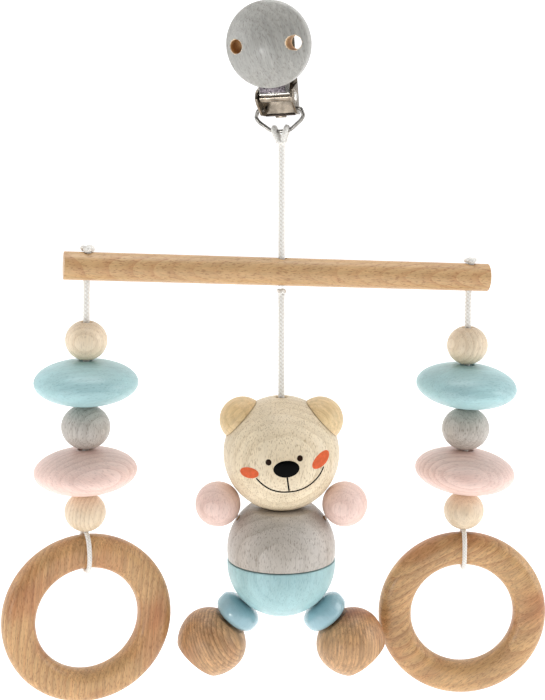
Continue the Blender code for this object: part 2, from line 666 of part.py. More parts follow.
def build_bear(hang_x, knot_bottom):
    """Head with ears, the two halves of the torso, hands and legs, on a cord and on elastics."""
    swing_z = knot_bottom - GAP - PAIR_RADIUS
    swing = axis_empty("bear_swing_axis", (hang_x, 0, swing_z))
    head_z = -BEAR_DROP - HEAD_RADIUS + PAIR_RADIUS
    head_flat = HEAD_RADIUS - HEAD_CUT
    torso_z = head_z - head_flat - GAP - CHEST_HEIGHT
    knot_top = torso_z - TORSO_SPLIT_GAP / 2 - (POCKET_DEPTH - END_KNOT_HEIGHT) / 2
    points, taper = straight(0, knot_top + GAP, PAIR_RADIUS)
    tube("bear_cord", points, PAIR_RADIUS, taper=taper, colour="cord", parent=swing)
    turned(
        "bear_end_knot",
        knot(END_KNOT_RADIUS, END_KNOT_HEIGHT),
        14,
        False,
        colour="cord",
        parent=swing,
        location=(0, 0, knot_top - END_KNOT_HEIGHT / 2),
    )

    head_axis = axis_empty("head_turn_axis", (0, 0, head_z), parent=swing)
    rim_z = sqrt(HEAD_RADIUS**2 - HEAD_RECESS_RADIUS**2)
    side = arc(HEAD_RADIUS, asin(rim_z / HEAD_RADIUS), -asin(head_flat / HEAD_RADIUS), 14)
    recess = [(BORE_RADIUS, -head_flat), (BORE_RADIUS, rim_z - HEAD_RECESS_DEPTH)]
    turned("bear_head", side + recess, TURN_STEPS + 4, True, colour="face_wood", parent=head_axis)
    for sign, name in ((-1, "ear_left"), (1, "ear_right")):
        ear = turned(
            name,
            knot(EAR_RADIUS, 2 * EAR_RADIUS, 10),
            SMALL_STEPS,
            False,
            colour="face_wood",
            parent=head_axis,
            location=(sign * EAR_REACH * cos(EAR_ANGLE), 0, EAR_REACH * sin(EAR_ANGLE)),
            rotation=(pi / 2, 0, 0),
        )
        seat = turned(
            f"{name}_seat",
            knot(HEAD_RADIUS + GAP, 2 * (HEAD_RADIUS + GAP), 20),
            TURN_STEPS + 4,
            False,
            colour=None,
            parent=head_axis,
        )
        combine(ear, seat)

    face = TORSO_SPLIT_GAP / 2
    pocket = face + POCKET_DEPTH
    halves = {}
    for name, colour, middle, top, closed in (
        ("torso_upper", "grey_stain", CHEST_RISE, CHEST_HEIGHT, True),
        ("torso_lower", "blue_stain", HIPS_SINK, HIPS_SINK + TORSO_RADIUS, False),
    ):
        empty = axis_empty(f"{name}_axis", (0, 0, torso_z), parent=swing)
        start = asin((top - middle) / TORSO_RADIUS)
        edge = asin((face + TORSO_EDGE - middle) / TORSO_RADIUS)
        side = arc(TORSO_RADIUS, start, edge, 11, (0, middle))
        side.append((side[-1][0] - TORSO_EDGE, face))
        if closed:
            profile = side + [(BORE_RADIUS, face), (BORE_RADIUS, top)]
        else:
            side[0] = (0, top)
            side += [(POCKET_RADIUS, face), (POCKET_RADIUS, pocket), (0, pocket)]
            profile = [(r, -z) for r, z in reversed(side)]
        halves[name] = turned(name, profile, TURN_STEPS, closed, colour=colour, parent=empty), empty

    neck = head_z - torso_z - CHEST_RISE
    chest_middle, hips_middle = Vector((0, 0, CHEST_RISE)), Vector((0, 0, -HIPS_SINK))
    from_torso = TORSO_RADIUS + ARM_LENGTH + HAND_RADIUS
    from_head = HEAD_RADIUS + HAND_HEAD_GAP + HAND_RADIUS
    hand_rise = (from_torso**2 - from_head**2 + neck**2) / (2 * neck)
    hand_side = sqrt(from_torso**2 - hand_rise**2 - HAND_FORWARD**2)
    for sign, word in ((-1, "left"), (1, "right")):
        chest, chest_axis = halves["torso_upper"]
        reach = Vector((sign * hand_side, -HAND_FORWARD, hand_rise))
        along = reach.normalized()
        turn = along.to_track_quat("Z", "Y").to_euler()
        root = chest_middle + along * TORSO_RADIUS
        drill(chest, f"{word}_arm_hole", LIMB_HOLE_RADIUS, 2 * LIMB_HOLE_DEPTH, root, turn, chest_axis)
        arm = axis_empty(f"{word}_arm_axis", root, turn, chest_axis)
        grip = reach.length - TORSO_RADIUS
        points, taper = straight(0, grip, ELASTIC_RADIUS)
        tube(f"{word}_arm_cord", points, ELASTIC_RADIUS, taper=taper, colour="cord", parent=arm)
        flat = HAND_RADIUS - HAND_FLAT
        side = arc(HAND_RADIUS, pi / 2, -asin(flat / HAND_RADIUS), 10)
        side[0] = (0, HAND_RADIUS)
        socket = [(LIMB_HOLE_RADIUS, -flat), (LIMB_HOLE_RADIUS, 2 * GAP), (0, 2 * GAP)]
        profile = side + socket
        turned(f"{word}_hand", profile, SMALL_STEPS, False, colour="pink_stain", parent=arm, location=(0, 0, grip))

        hips, hips_axis = halves["torso_lower"]
        along = Vector((sign * sin(LEG_ANGLE), 0, -cos(LEG_ANGLE)))
        turn = (0, sign * (pi - LEG_ANGLE), 0)
        root = hips_middle + along * TORSO_RADIUS
        drill(hips, f"{word}_leg_hole", LIMB_HOLE_RADIUS, 2 * LIMB_HOLE_DEPTH, root, turn, hips_axis)
        leg = axis_empty(f"{word}_leg_axis", root, turn, hips_axis)
        bead_z = LEG_BEAD_GAP + LEG_BEAD_HEIGHT / 2
        foot_z = LEG_BEAD_GAP + LEG_BEAD_HEIGHT + GAP
        knee = foot_z + FOOT_LENGTH * 0.4
        points, taper = straight(0, knee, ELASTIC_RADIUS)
        tube(f"{word}_leg_cord", points, ELASTIC_RADIUS, taper=taper, colour="cord", parent=leg)
        turned(
            f"{word}_leg_bead",
            oval_bead(LEG_BEAD_RADIUS, LEG_BEAD_HEIGHT, LIMB_HOLE_RADIUS, BORE_LIP, 12, LEG_BEAD_FULLNESS),
            SMALL_STEPS,
            True,
            colour="blue_gloss",
            parent=leg,
            location=(0, 0, bead_z),
        )
        turned(
            f"{word}_foot",
            foot_profile(knee - foot_z + GAP),
            SMALL_STEPS + 4,
            False,
            colour="beech",
            parent=leg,
            location=(0, 0, foot_z),
        )


def foot_profile(socket_depth):
    """A ball cut to a slightly domed sole, with a blind hole for the elastic."""
    widest = FOOT_LENGTH * 0.47
    neck = acos(FOOT_NECK_RADIUS / FOOT_RADIUS)
    sole_edge = acos(FOOT_SOLE_RADIUS / FOOT_RADIUS)
    sole_z = FOOT_LENGTH - FOOT_SOLE_DOME
    steps = 5
    points = [(0, FOOT_LENGTH), (FOOT_SOLE_RADIUS * 0.6, FOOT_LENGTH - FOOT_SOLE_DOME * 0.35)]
    for i in range(steps + 1):
        a = sole_edge * (1 - i / steps)
        points.append((FOOT_RADIUS * cos(a), widest + (sole_z - widest) * sin(a) / sin(sole_edge)))
    for i in range(1, steps + 1):
        a = neck * i / steps
        points.append((FOOT_RADIUS * cos(a), widest - widest * sin(a) / sin(neck)))
    return points + [(LIMB_HOLE_RADIUS, 0), (LIMB_HOLE_RADIUS, socket_depth), (0, socket_depth)]


build_clip_body()
build_clip_front()
hang_point = build_bail()
bar_height, stop_knot_bottom = build_clip_cord(hang_point)
exits = build_bar(hang_point.x, bar_height)
build_strand("left", exits["left"], LEFT_DROP, LEFT_LEAN, LEFT_BLUE_SLANT, LEFT_PINK_SLANT, LEFT_RING_YAW)
build_strand("right", exits["right"], RIGHT_DROP, RIGHT_LEAN, RIGHT_BLUE_SLANT, RIGHT_PINK_SLANT, RIGHT_RING_YAW)
build_bear(hang_point.x, stop_knot_bottom)
bpy.context.view_layer.update()
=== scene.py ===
import json
import math

import bmesh
import bpy
from mathutils import Matrix, Vector


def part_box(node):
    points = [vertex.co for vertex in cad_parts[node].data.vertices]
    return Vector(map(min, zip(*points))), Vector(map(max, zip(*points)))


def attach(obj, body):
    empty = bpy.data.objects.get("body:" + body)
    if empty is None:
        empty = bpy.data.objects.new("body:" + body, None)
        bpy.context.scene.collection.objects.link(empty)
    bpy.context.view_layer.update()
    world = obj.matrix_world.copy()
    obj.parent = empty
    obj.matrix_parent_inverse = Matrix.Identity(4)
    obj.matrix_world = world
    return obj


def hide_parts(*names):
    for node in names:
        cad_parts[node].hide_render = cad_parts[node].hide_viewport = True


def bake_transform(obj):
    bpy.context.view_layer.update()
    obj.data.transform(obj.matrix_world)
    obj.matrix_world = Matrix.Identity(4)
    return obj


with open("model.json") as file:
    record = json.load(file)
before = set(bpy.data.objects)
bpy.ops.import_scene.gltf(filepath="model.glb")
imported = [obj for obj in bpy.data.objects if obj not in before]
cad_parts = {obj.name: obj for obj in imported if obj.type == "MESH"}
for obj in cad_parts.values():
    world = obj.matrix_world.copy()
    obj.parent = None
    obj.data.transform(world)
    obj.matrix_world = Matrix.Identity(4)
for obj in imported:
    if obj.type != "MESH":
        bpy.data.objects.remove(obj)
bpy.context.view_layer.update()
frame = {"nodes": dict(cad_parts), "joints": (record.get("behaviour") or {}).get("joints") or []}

mm = 0.001
joints = {joint["name"]: joint for joint in frame["joints"]}
scene = bpy.context.scene
print("frame loaded:", len(frame["nodes"]), "nodes")


def srgb(red, green, blue):
    shares = [c / 255 for c in (red, green, blue)]
    return tuple(c / 12.92 if c < 0.04 else ((c + 0.055) / 1.055) ** 2.4 for c in shares) + (1,)


def spot(joint):
    # where a joint sits, in millimetres
    return Vector(joints[joint]["pos_m"]) / mm


def way(joint):
    return Vector(joints[joint]["axis"]).normalized()


def middleOf(node):
    low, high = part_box(node)
    return (low + high) / 2 / mm


def arc(radius, start, end, steps, centre=(0, 0)):
    angles = [math.radians(start + (end - start) * i / steps) for i in range(steps + 1)]
    return [(centre[0] + radius * math.cos(a), centre[1] + radius * math.sin(a)) for a in angles]


def newObject(name, data):
    thing = bpy.data.objects.new(name, data)
    scene.collection.objects.link(thing)
    return thing


def feed(tree, node, sources):
    # gives each input another node's output or a plain value
    for key, source in sources.items():
        if isinstance(source, bpy.types.NodeSocket):
            tree.links.new(source, node.inputs[key])
        else:
            node.inputs[key].default_value = source


def addNode(tree, kind, sources=(), **settings):
    node = tree.nodes.new(kind)
    for key, value in settings.items():
        setattr(node, key, value)
    feed(tree, node, dict(sources))
    return node


def compute(tree, operation, *sources, kind="Math"):
    node = addNode(tree, "ShaderNode" + kind, enumerate(sources), operation=operation)
    return node.outputs[0]


def spread(tree, source, toLow, toHigh, low=0, high=1, **settings):
    values = {"Value": source, "From Min": low, "From Max": high, "To Min": toLow, "To Max": toHigh}
    return addNode(tree, "ShaderNodeMapRange", values, **settings).outputs["Result"]


view = {"place": (0.02, -752, 5), "pitch": 11, "focal": 1776, "frameHeight": 700, "sensor": 36}


def buildCamera():
    lens = bpy.data.cameras.new("camera")
    lens.sensor_width = view["sensor"]
    lens.lens = view["sensor"] * view["focal"] / view["frameHeight"]
    lens.clip_start, lens.clip_end = 0.01, 20
    camera = newObject("camera", lens)
    camera.location = [c * mm for c in view["place"]]
    camera.rotation_euler = (math.radians(90 - view["pitch"]), 0, 0)
    scene.camera = camera


studio = {
    "floorHeight": -0.42, "floorSize": 3.2, "wallBend": 0.6, "wallHeight": 1.8, "floorGlow": 0.54,
    # the tent is dimmer on the camera's side
    "tentFront": 0.165, "tentBack": 0.9, "tentEdges": (-1, 0.4),
    "softboxes": [
        # name, place, aim, width, height, watts
        ("keyBox", (-0.62, -0.85, -0.27), (0, 0, -0.15), 0.16, 0.16, 1.3),
        ("leftBox", (-1.1, -0.1, 0.1), (0, 0, -0.15), 0.7, 0.9, 2.4),
        ("rightBox", (1.1, -0.15, 0.1), (0, 0, -0.15), 0.7, 0.9, 4.2),
        ("topBox", (0.0, 0.1, 1.0), (0, 0, -0.1), 0.9, 0.7, 6.0),
    ],
}


def buildTent():
    world = bpy.data.worlds.new("whiteTent")
    world.use_nodes = True
    tree = world.node_tree
    place = addNode(tree, "ShaderNodeTexCoord").outputs["Generated"]
    depth = addNode(tree, "ShaderNodeSeparateXYZ", {0: place}).outputs["Y"]
    glow = spread(
        tree, depth, studio["tentFront"], studio["tentBack"], *studio["tentEdges"],
        interpolation_type="SMOOTHSTEP",
    )
    feed(tree, tree.nodes["Background"], {"Strength": glow, "Color": (1, 1, 1, 1)})
    scene.world = world
    scene.view_settings.view_transform = "Standard"
    scene.view_settings.look = "None"


def buildFloor():
    # a seamless sheet: flat under the toy, curving up behind it
    bm = bmesh.new()
    half = studio["floorSize"] / 2
    low, bend = studio["floorHeight"], studio["wallBend"]
    edge = bm.edges.new([bm.verts.new((x, -half, low)) for x in (-half, half)])
    places = [(half, low)] + arc(bend, -90, 0, 16, (half, low + bend))[1:]
    places.append((half + bend, low + bend + studio["wallHeight"]))
    for y, z in places:
        made = bmesh.ops.extrude_edge_only(bm, edges=[edge])["geom"]
        edge = next(g for g in made if isinstance(g, bmesh.types.BMEdge))
        for vert in edge.verts:
            vert.co.y, vert.co.z = y, z
    for face in bm.faces:
        face.smooth = True
    bmesh.ops.recalc_face_normals(bm, faces=bm.faces)
    mesh = bpy.data.meshes.new("floor")
    bm.to_mesh(mesh)
    bm.free()
    floor = newObject("floor", mesh)
    paper = bpy.data.materials.new("whitePaper")
    paper.use_nodes = True
    feed(paper.node_tree, paper.node_tree.nodes["Principled BSDF"], {
        "Base Color": (0.9, 0.9, 0.9, 1), "Roughness": 0.9,
        "Emission Color": (1, 1, 1, 1), "Emission Strength": studio["floorGlow"],
    })
    mesh.materials.append(paper)


def buildLights():
    for name, place, aim, width, height, watts in studio["softboxes"]:
        light = bpy.data.lights.new(name, "AREA")
        light.shape = "ELLIPSE"
        light.size, light.size_y = width, height
        light.energy = watts
        lamp = newObject(name, light)
        lamp.location = place
        turn = (Vector(aim) - Vector(place)).to_track_quat("-Z", "Y")
        lamp.rotation_euler = turn.to_euler()


buildCamera()
buildTent()
buildFloor()
buildLights()
print("studio built")


def newMaterial(name):
    material = bpy.data.materials.new(name)
    material.use_nodes = True
    return material, material.node_tree, material.node_tree.nodes["Principled BSDF"]


def objectNoise(tree, scale, detail):
    place = addNode(tree, "ShaderNodeTexCoord").outputs["Object"]
    values = {"Vector": place, "Scale": scale, "Detail": detail}
    return addNode(tree, "ShaderNodeTexNoise", values).outputs["Fac"]


def addBump(tree, shader, height, strength, depth):
    values = {"Height": height, "Strength": strength, "Distance": depth}
    feed(tree, shader, {"Normal": addNode(tree, "ShaderNodeBump", values).outputs["Normal"]})


grainLayers = {
    # layer: scale across the grain, scale along it, detail, where it starts, where it is full
    "Flecks": (2000, 520, 1, 0.55, 0.67), "Fibre": (2600, 110, 2, 0.3, 0.7),
    "Stripes": (700, 9, 3, 0.32, 0.68), "Cloud": (90, 45, 2, 0.3, 0.7),
    "Patch": (38, 30, 2, 0.46, 0.7),
}
# how the growth rings wander, how narrow their late wood is, and how faint a year may be
ringNature = {"wander": (38, 13, 2), "reach": 0.0042, "narrow": 2.2, "faintest": 0.35}


def makeGrainGroup():
    # growth rings about Z, dark flecks, fibres and stripes along it, and soft patches; in metres
    group = bpy.data.node_groups.new("woodGrain", "ShaderNodeTree")
    for name, kind in (("Vector", "Vector"), ("Ring Scale", "Float"), ("Seed", "Float")):
        group.interface.new_socket(name, in_out="INPUT", socket_type="NodeSocket" + kind)
    for name in ("Rings", *grainLayers):
        group.interface.new_socket(name, in_out="OUTPUT", socket_type="NodeSocketFloat")
    start = addNode(group, "NodeGroupInput").outputs
    end = addNode(group, "NodeGroupOutput")
    shifted = compute(group, "ADD", start["Vector"], start["Seed"], kind="VectorMath")

    def noise(across, along, detail):
        scale = (across, across, along)
        place = compute(group, "MULTIPLY", shifted, scale, kind="VectorMath")
        values = {"Vector": place, "Scale": 1, "Detail": detail}
        return addNode(group, "ShaderNodeTexNoise", values).outputs

    for name, (across, along, detail, low, high) in grainLayers.items():
        layer = noise(across, along, detail)["Fac"]
        feed(group, end, {name: spread(group, layer, 0, 1, low, high)})

    wander = noise(*ringNature["wander"])
    centred = compute(group, "SUBTRACT", wander["Color"], (0.5,) * 3, kind="VectorMath")
    sway = compute(group, "MULTIPLY", centred, (ringNature["reach"],) * 3, kind="VectorMath")
    bent = compute(group, "ADD", start["Vector"], sway, kind="VectorMath")
    rings = addNode(
        group, "ShaderNodeTexWave",
        {"Vector": bent, "Scale": start["Ring Scale"], "Distortion": 0.8, "Detail": 2},
        wave_type="RINGS", rings_direction="Z", wave_profile="SAW",
    )
    # late wood is a narrow dark line, and not every year is as dark
    dark = compute(group, "POWER", rings.outputs["Fac"], ringNature["narrow"])
    year = spread(group, wander["Fac"], ringNature["faintest"], 1, 0.35, 0.65)
    feed(group, end, {"Rings": compute(group, "MULTIPLY", dark, year)})
    return group


grainGroup = makeGrainGroup()

usualWood = {"fibre": 0.06, "stripes": 0.05, "cloud": 0.06, "rough": 0.42}


def stain(base, ring, warm, fleck, **amounts):
    # a wood's own colour, what its rings, patches and flecks tint it towards and by how much,
    # and how far fibre, stripes and clouds lighten and darken it
    tints = {"base": base, "ring": ring, "warm": warm, "fleck": fleck}
    return {**usualWood, **{name: srgb(*tint) for name, tint in tints.items()}, **amounts}


woods = {
    "greyStain": stain(
        (198, 191, 183), (142, 131, 117), (182, 169, 151), (117, 104, 92),
        rings=0.5, flecks=0.5, patch=0.3, coat=0.18, slot="grey_stain",
    ),
    "greyCover": stain(
        (174, 173, 168), (142, 137, 129), (173, 168, 154), (112, 106, 98),
        rings=0.3, flecks=0.4, patch=0.12, fibre=0.1, stripes=0.14,
        rough=0.36, coat=0.3, slot="grey_stain",
    ),
    "blueStain": stain(
        (168, 205, 208), (133, 176, 182), (162, 203, 202), (115, 159, 165),
        rings=0.4, flecks=0.34, patch=0.3, fibre=0.05, cloud=0.1, coat=0.22, slot="blue_stain",
    ),
    "pinkStain": stain(
        (247, 217, 206), (207, 163, 151), (236, 200, 186), (184, 139, 129),
        rings=0.55, flecks=0.28, patch=0.3, rough=0.45, coat=0.16, slot="pink_stain",
    ),
    "blueGloss": stain(
        (154, 192, 203), (131, 171, 184), (144, 184, 196), (121, 159, 173),
        rings=0.15, flecks=0.12, patch=0.2, fibre=0.03, stripes=0.03,
        rough=0.16, coat=0.5, slot="blue_gloss",
    ),
    "paleMaple": stain(
        (243, 224, 196), (194, 162, 122), (235, 209, 173), (183, 151, 116),
        rings=0.42, flecks=0.3, patch=0.4, stripes=0.06, cloud=0.08, coat=0.2, slot="maple",
    ),
    "faceWood": stain(
        (238, 222, 193), (196, 171, 132), (228, 207, 170), (178, 151, 114),
        rings=0.52, flecks=0.66, patch=0.4, stripes=0.04, rough=0.45, coat=0.14, slot="face_wood",
    ),
    "earWood": stain(
        (240, 213, 165), (199, 163, 110), (230, 193, 136), (187, 151, 104),
        rings=0.45, flecks=0.25, patch=0.6, stripes=0.12, cloud=0.08, coat=0.1, slot="face_wood",
    ),
    "barBeech": stain(
        (210, 172, 124), (172, 104, 58), (209, 164, 113), (160, 108, 64),
        rings=0.5, flecks=0.6, patch=0.12, fibre=0.08, stripes=0.1,
        cloud=0.05, coat=0.1, slot="beech",
    ),
    "footBeech": stain(
        (208, 164, 117), (108, 58, 30), (150, 78, 38), (126, 76, 43),
        rings=0.72, flecks=0.4, patch=0.8, fibre=0.08, stripes=0.3,
        rough=0.45, coat=0.08, slot="beech",
    ),
    "ringBeech": stain(
        (212, 169, 117), (160, 96, 50), (170, 92, 42), (140, 84, 42),
        rings=0.5, flecks=0.45, patch=0.75, fibre=0.14, stripes=0.18, cloud=0.1,
        rough=0.4, coat=0.14, slot="beech",
    ),
    "boredWood": stain(
        (214, 176, 128), (178, 128, 82), (196, 150, 100), (150, 105, 66),
        rings=0.3, flecks=0.3, patch=0.5, fibre=0.15, stripes=0.1, cloud=0.1, rough=0.7, coat=0,
    ),
}


def woodFinish(name, wood, centre, grain=(0, 0, 1), pith=(0, 30, 0), ringGap=1.6, seed=0.0):
    # centre, pith and ringGap in millimetres; fibres run along the grain, rings round the pith
    look = woods[wood]
    material, tree, shader = newMaterial(name)
    mapping = addNode(tree, "ShaderNodeMapping", {
        "Vector": addNode(tree, "ShaderNodeTexCoord").outputs["Object"],
        "Location": (Vector(centre) + Vector(pith)) * mm,
        "Rotation": Vector(grain).to_track_quat("Z", "Y").to_euler(),
    }, vector_type="TEXTURE")
    growth = addNode(tree, "ShaderNodeGroup", node_tree=grainGroup)
    feed(tree, growth, {
        # a wave's scale of one is a ring every 0.314 units
        "Vector": mapping.outputs["Vector"], "Ring Scale": 0.314 / (ringGap * mm), "Seed": seed,
    })
    colour = look["base"]
    for layer, tint in (("Patch", "warm"), ("Rings", "ring"), ("Flecks", "fleck")):
        share = compute(tree, "MULTIPLY", growth.outputs[layer], look[layer.lower()])
        mix = {"Fac": share, "Color1": colour, "Color2": look[tint]}
        colour = addNode(tree, "ShaderNodeMixRGB", mix).outputs["Color"]
    for layer in ("Fibre", "Stripes", "Cloud"):
        amount = look[layer.lower()]
        tone = spread(tree, growth.outputs[layer], 1 - amount, 1 + amount * 0.6)
        shade = {"Color": colour, "Value": tone}
        colour = addNode(tree, "ShaderNodeHueSaturation", shade).outputs["Color"]
    rough, fibre = look["rough"], growth.outputs["Fibre"]
    feed(tree, shader, {
        "Base Color": colour, "Roughness": spread(tree, fibre, rough - 0.05, rough + 0.08),
        "Coat Weight": look["coat"], "Coat Roughness": 0.18,
    })
    height = compute(tree, "SUBTRACT", fibre, growth.outputs["Flecks"])
    addBump(tree, shader, height, 0.3, 0.00006)
    return material


def noisyFinish(name, tint, rough, scales=(140, 900), tones=(0.86, 1.05), bumpy=0.12, metallic=1):
    # one soft noise for tone and polish, one fine noise for bumps
    material, tree, shader = newMaterial(name)
    soft, fine = objectNoise(tree, scales[0], 3), objectNoise(tree, scales[1], 4)
    shade = {"Color": tint, "Value": spread(tree, soft, *tones, 0.3, 0.7)}
    feed(tree, shader, {
        "Base Color": addNode(tree, "ShaderNodeHueSaturation", shade).outputs["Color"],
        "Roughness": spread(tree, soft, rough * 0.7, rough * 1.5), "Metallic": metallic,
    })
    addBump(tree, shader, fine, bumpy, 0.00003)
    return material, shader


def cordFinish(name, light, dark):
    # the braid's hollows are painted darker as shade, and its fibres a little uneven
    material, tree, shader = newMaterial(name)
    hollow = addNode(tree, "ShaderNodeAttribute", attribute_name="hollow").outputs["Fac"]
    fuzz = objectNoise(tree, 4200, 3)
    depth = compute(tree, "MULTIPLY_ADD", fuzz, 0.3, hollow)
    mix = {"Fac": spread(tree, depth, 0, 0.9, 0.2, 1.2), "Color1": light, "Color2": dark}
    feed(tree, shader, {
        "Base Color": addNode(tree, "ShaderNodeMixRGB", mix).outputs["Color"],
        "Roughness": 0.7, "Sheen Weight": 0.25, "Sheen Roughness": 0.4,
    })
    addBump(tree, shader, fuzz, 0.4, 0.00006)
    return material


nickel, _ = noisyFinish("nickel", srgb(224, 220, 214), 0.16)
nickelWire, _ = noisyFinish("nickelWire", srgb(158, 155, 150), 0.18, (420, 900), (0.6, 1.15))
# the back plate's darker nickel, which the lever's barrel also wears as painted shade
nickelPlate, _ = noisyFinish(
    "nickelPlate", srgb(152, 141, 127), 0.2, (240, 1600), (0.45, 1.25), 0.35
)
# each cord's second colour is painted shade, mixed into the braid's hollows
cordWhite = cordFinish("cordWhite", srgb(255, 255, 252), srgb(212, 205, 194))
elasticWhite = cordFinish("elasticWhite", srgb(252, 250, 246), srgb(220, 214, 206))
boredWood = woodFinish("boredWood", "boredWood", (0, 0, 0), ringGap=1.1)
print("finishes made")


def smoothMesh(bm, limit=40):
    for face in bm.faces:
        face.smooth = True
    for edge in bm.edges:
        if len(edge.link_faces) == 2 and edge.calc_face_angle(0) > math.radians(limit):
            edge.smooth = False


def addPiece(name, bm, body, materials, nodes=(), limit=40):
    # edges past the limit, in degrees, stay sharp; the piece stands in for its nodes
    smoothMesh(bm, limit)
    mesh = bpy.data.meshes.new(name)
    bm.to_mesh(mesh)
    bm.free()
    piece = newObject(name, mesh)
    for material in materials if isinstance(materials, (list, tuple)) else [materials]:
        mesh.materials.append(material)
    if body:
        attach(piece, body)
    if nodes:
        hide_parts(*nodes)
    return piece


def healMesh(bm):
    bmesh.ops.remove_doubles(bm, verts=bm.verts, dist=0.000002)
    bmesh.ops.recalc_face_normals(bm, faces=bm.faces)
    return bm


def spinLine(bm, line, steps):
    bmesh.ops.spin(
        bm, geom=line, cent=(0, 0, 0), axis=(0, 0, 1), angle=2 * math.pi, steps=steps,
        use_merge=True,
    )


def spinProfile(profile, steps=72, closed=False):
    # a profile of (radius, height) in millimetres, turned about Z
    bm = bmesh.new()
    verts = [bm.verts.new((r * mm, 0, z * mm)) for r, z in profile]
    edges = [bm.edges.new(pair) for pair in zip(verts, verts[1:])]
    if closed:
        edges.append(bm.edges.new((verts[-1], verts[0])))
    spinLine(bm, verts + edges, steps)
    return healMesh(bm)


def stand(bm, place, axis=(0, 0, 1)):
    # sets a shape made about Z on its place, in millimetres
    turn = Vector(axis).to_track_quat("Z", "Y").to_matrix().to_4x4()
    matrix = Matrix.Translation(Vector(place) * mm) @ turn
    bmesh.ops.transform(bm, matrix=matrix, verts=bm.verts)
    return bm


def rod(radius, length, place, axis=(0, 0, 1), segments=32):
    bm = bmesh.new()
    bmesh.ops.create_cone(
        bm, cap_ends=True, segments=segments, radius1=radius * mm, radius2=radius * mm,
        depth=length * mm,
    )
    return stand(bm, place, axis)


def roundEdges(bm, edges, offset, segments=2, material=-1):
    bmesh.ops.bevel(
        bm, geom=edges, offset=offset * mm, offset_type="OFFSET", segments=segments,
        profile=0.5, affect="EDGES", material=material,
    )


def joinShapes(bm, other):
    spare = bpy.data.meshes.new("spare")
    other.to_mesh(spare)
    other.free()
    bm.from_mesh(spare)
    bpy.data.meshes.remove(spare)
    return bm


def finishedMesh(thing):
    # an object's shape after its modifiers, and its materials
    bpy.context.view_layer.update()
    graph = bpy.context.evaluated_depsgraph_get()
    mesh = bpy.data.meshes.new_from_object(thing.evaluated_get(graph))
    bm = bmesh.new()
    bm.from_mesh(mesh)
    return bm, list(mesh.materials)


def cutAway(bm, cutters, materials=()):
    # takes closed cutter shapes out of a closed shape; a cutter may bring its own finish
    def solid(name, shape, finishes):
        mesh = bpy.data.meshes.new(name)
        shape.to_mesh(mesh)
        shape.free()
        for finish in finishes:
            mesh.materials.append(finish)
        return newObject(name, mesh)

    body = solid("body", bm, materials)
    tools = []
    for i, (cutter, finish) in enumerate(cutters):
        tool = solid(f"cutter{i}", cutter, [finish] if finish else [])
        hole = body.modifiers.new(tool.name, "BOOLEAN")
        hole.operation = "DIFFERENCE"
        hole.solver = "EXACT"
        hole.material_mode = "TRANSFER"
        hole.object = tool
        tools.append(tool)
    result, finishes = finishedMesh(body)
    for thing in tools + [body]:
        bpy.data.objects.remove(thing)
    bmesh.ops.remove_doubles(result, verts=result.verts, dist=0.000002)
    return result, finishes


def smoothRoute(points, step):
    # a Catmull-Rom line through the points, evenly parted
    points = [Vector(p) for p in points]
    line = []
    for i in range(len(points) - 1):
        before, after = points[max(i - 1, 0)], points[min(i + 2, len(points) - 1)]
        a, b = points[i], points[i + 1]
        count = max(2, int((b - a).length / step))
        for k in range(count):
            t = k / count
            square = (2 * before - 5 * a + 4 * b - after) * t * t
            cube = (3 * a - before - 3 * b + after) * t**3
            line.append(0.5 * (2 * a + (b - before) * t + (square + cube)))
    return line + [points[-1]]


def roundTube(route, radius, resolution, closed=False, tapers=None):
    # a tube along a route in millimetres, its vertices in rings along the route
    curve = bpy.data.curves.new("route", "CURVE")
    curve.dimensions = "3D"
    curve.bevel_depth = radius * mm
    curve.bevel_resolution = resolution
    curve.use_fill_caps = not closed
    spline = curve.splines.new("POLY")
    spline.points.add(len(route) - 1)
    for i, (point, place) in enumerate(zip(spline.points, route)):
        point.co = (*[c * mm for c in place], 1)
        point.radius = tapers[i] if tapers else 1
    spline.use_cyclic_u = closed
    shape = newObject("route", curve)
    bm, _ = finishedMesh(shape)
    bpy.data.objects.remove(shape)
    return bm


braid = {
    "radius": 1.5, "lay": 6.8, "thinRadius": 1.1, "thinLay": 5.2,
    "step": 0.28, "around": 24, "depth": 0.22, "families": 4,
    "knotLay": 4.2, "knotDepth": 0.24, "elasticRadius": 0.95, "elasticLay": 4.4,
}


def braidTube(route, radius=braid["radius"], lay=braid["lay"], closed=False, depth=braid["depth"]):
    # a round braid: two families of strands that cross, pressed in by the depth
    line = [Vector(p) for p in route] if closed else smoothRoute(route, braid["step"])
    around = braid["around"]
    bm = roundTube(line, radius, (around - 4) // 2, closed)
    bm.verts.ensure_lookup_table()
    hollow = bm.verts.layers.float.new("hollow")
    caps = 0 if closed else 2 * around
    travelled = [0]
    for a, b in zip(line, line[1:]):
        travelled.append(travelled[-1] + (b - a).length)
    if closed:
        whole = travelled[-1] + (line[0] - line[-1]).length
        lay = whole / max(1, round(whole / lay))
    families = braid["families"]
    for vert in bm.verts:
        if vert.index < caps:
            ring, place = (len(line) - 1 if vert.index < around else 0), vert.index % around
        else:
            ring, place = divmod(vert.index - caps, around)
        ring = min(ring, len(line) - 1)
        turn = 2 * math.pi * place / around
        along = 2 * math.pi * travelled[ring] / lay
        # one family of strands lies on top in each column, the other in the next
        column = math.cos(families * turn)
        rising = (0.5 + 0.5 * math.cos(families * (turn + along))) * (0.6 + 0.4 * column)
        falling = (0.5 + 0.5 * math.cos(families * (turn - along))) * (0.6 - 0.4 * column)
        low = 1 - max(rising, falling)
        centre = line[ring] * mm
        vert.co = centre + (vert.co - centre) * (1 - depth * low)
        vert[hollow] = low
    return healMesh(bm)


def straightRoute(start, end, count=24):
    start, end = Vector(start), Vector(end)
    return [start.lerp(end, i / count) for i in range(count + 1)]


def addBraid(name, bm, body, *nodes, finish=cordWhite):
    return addPiece(name, bm, body, finish, nodes, 180)


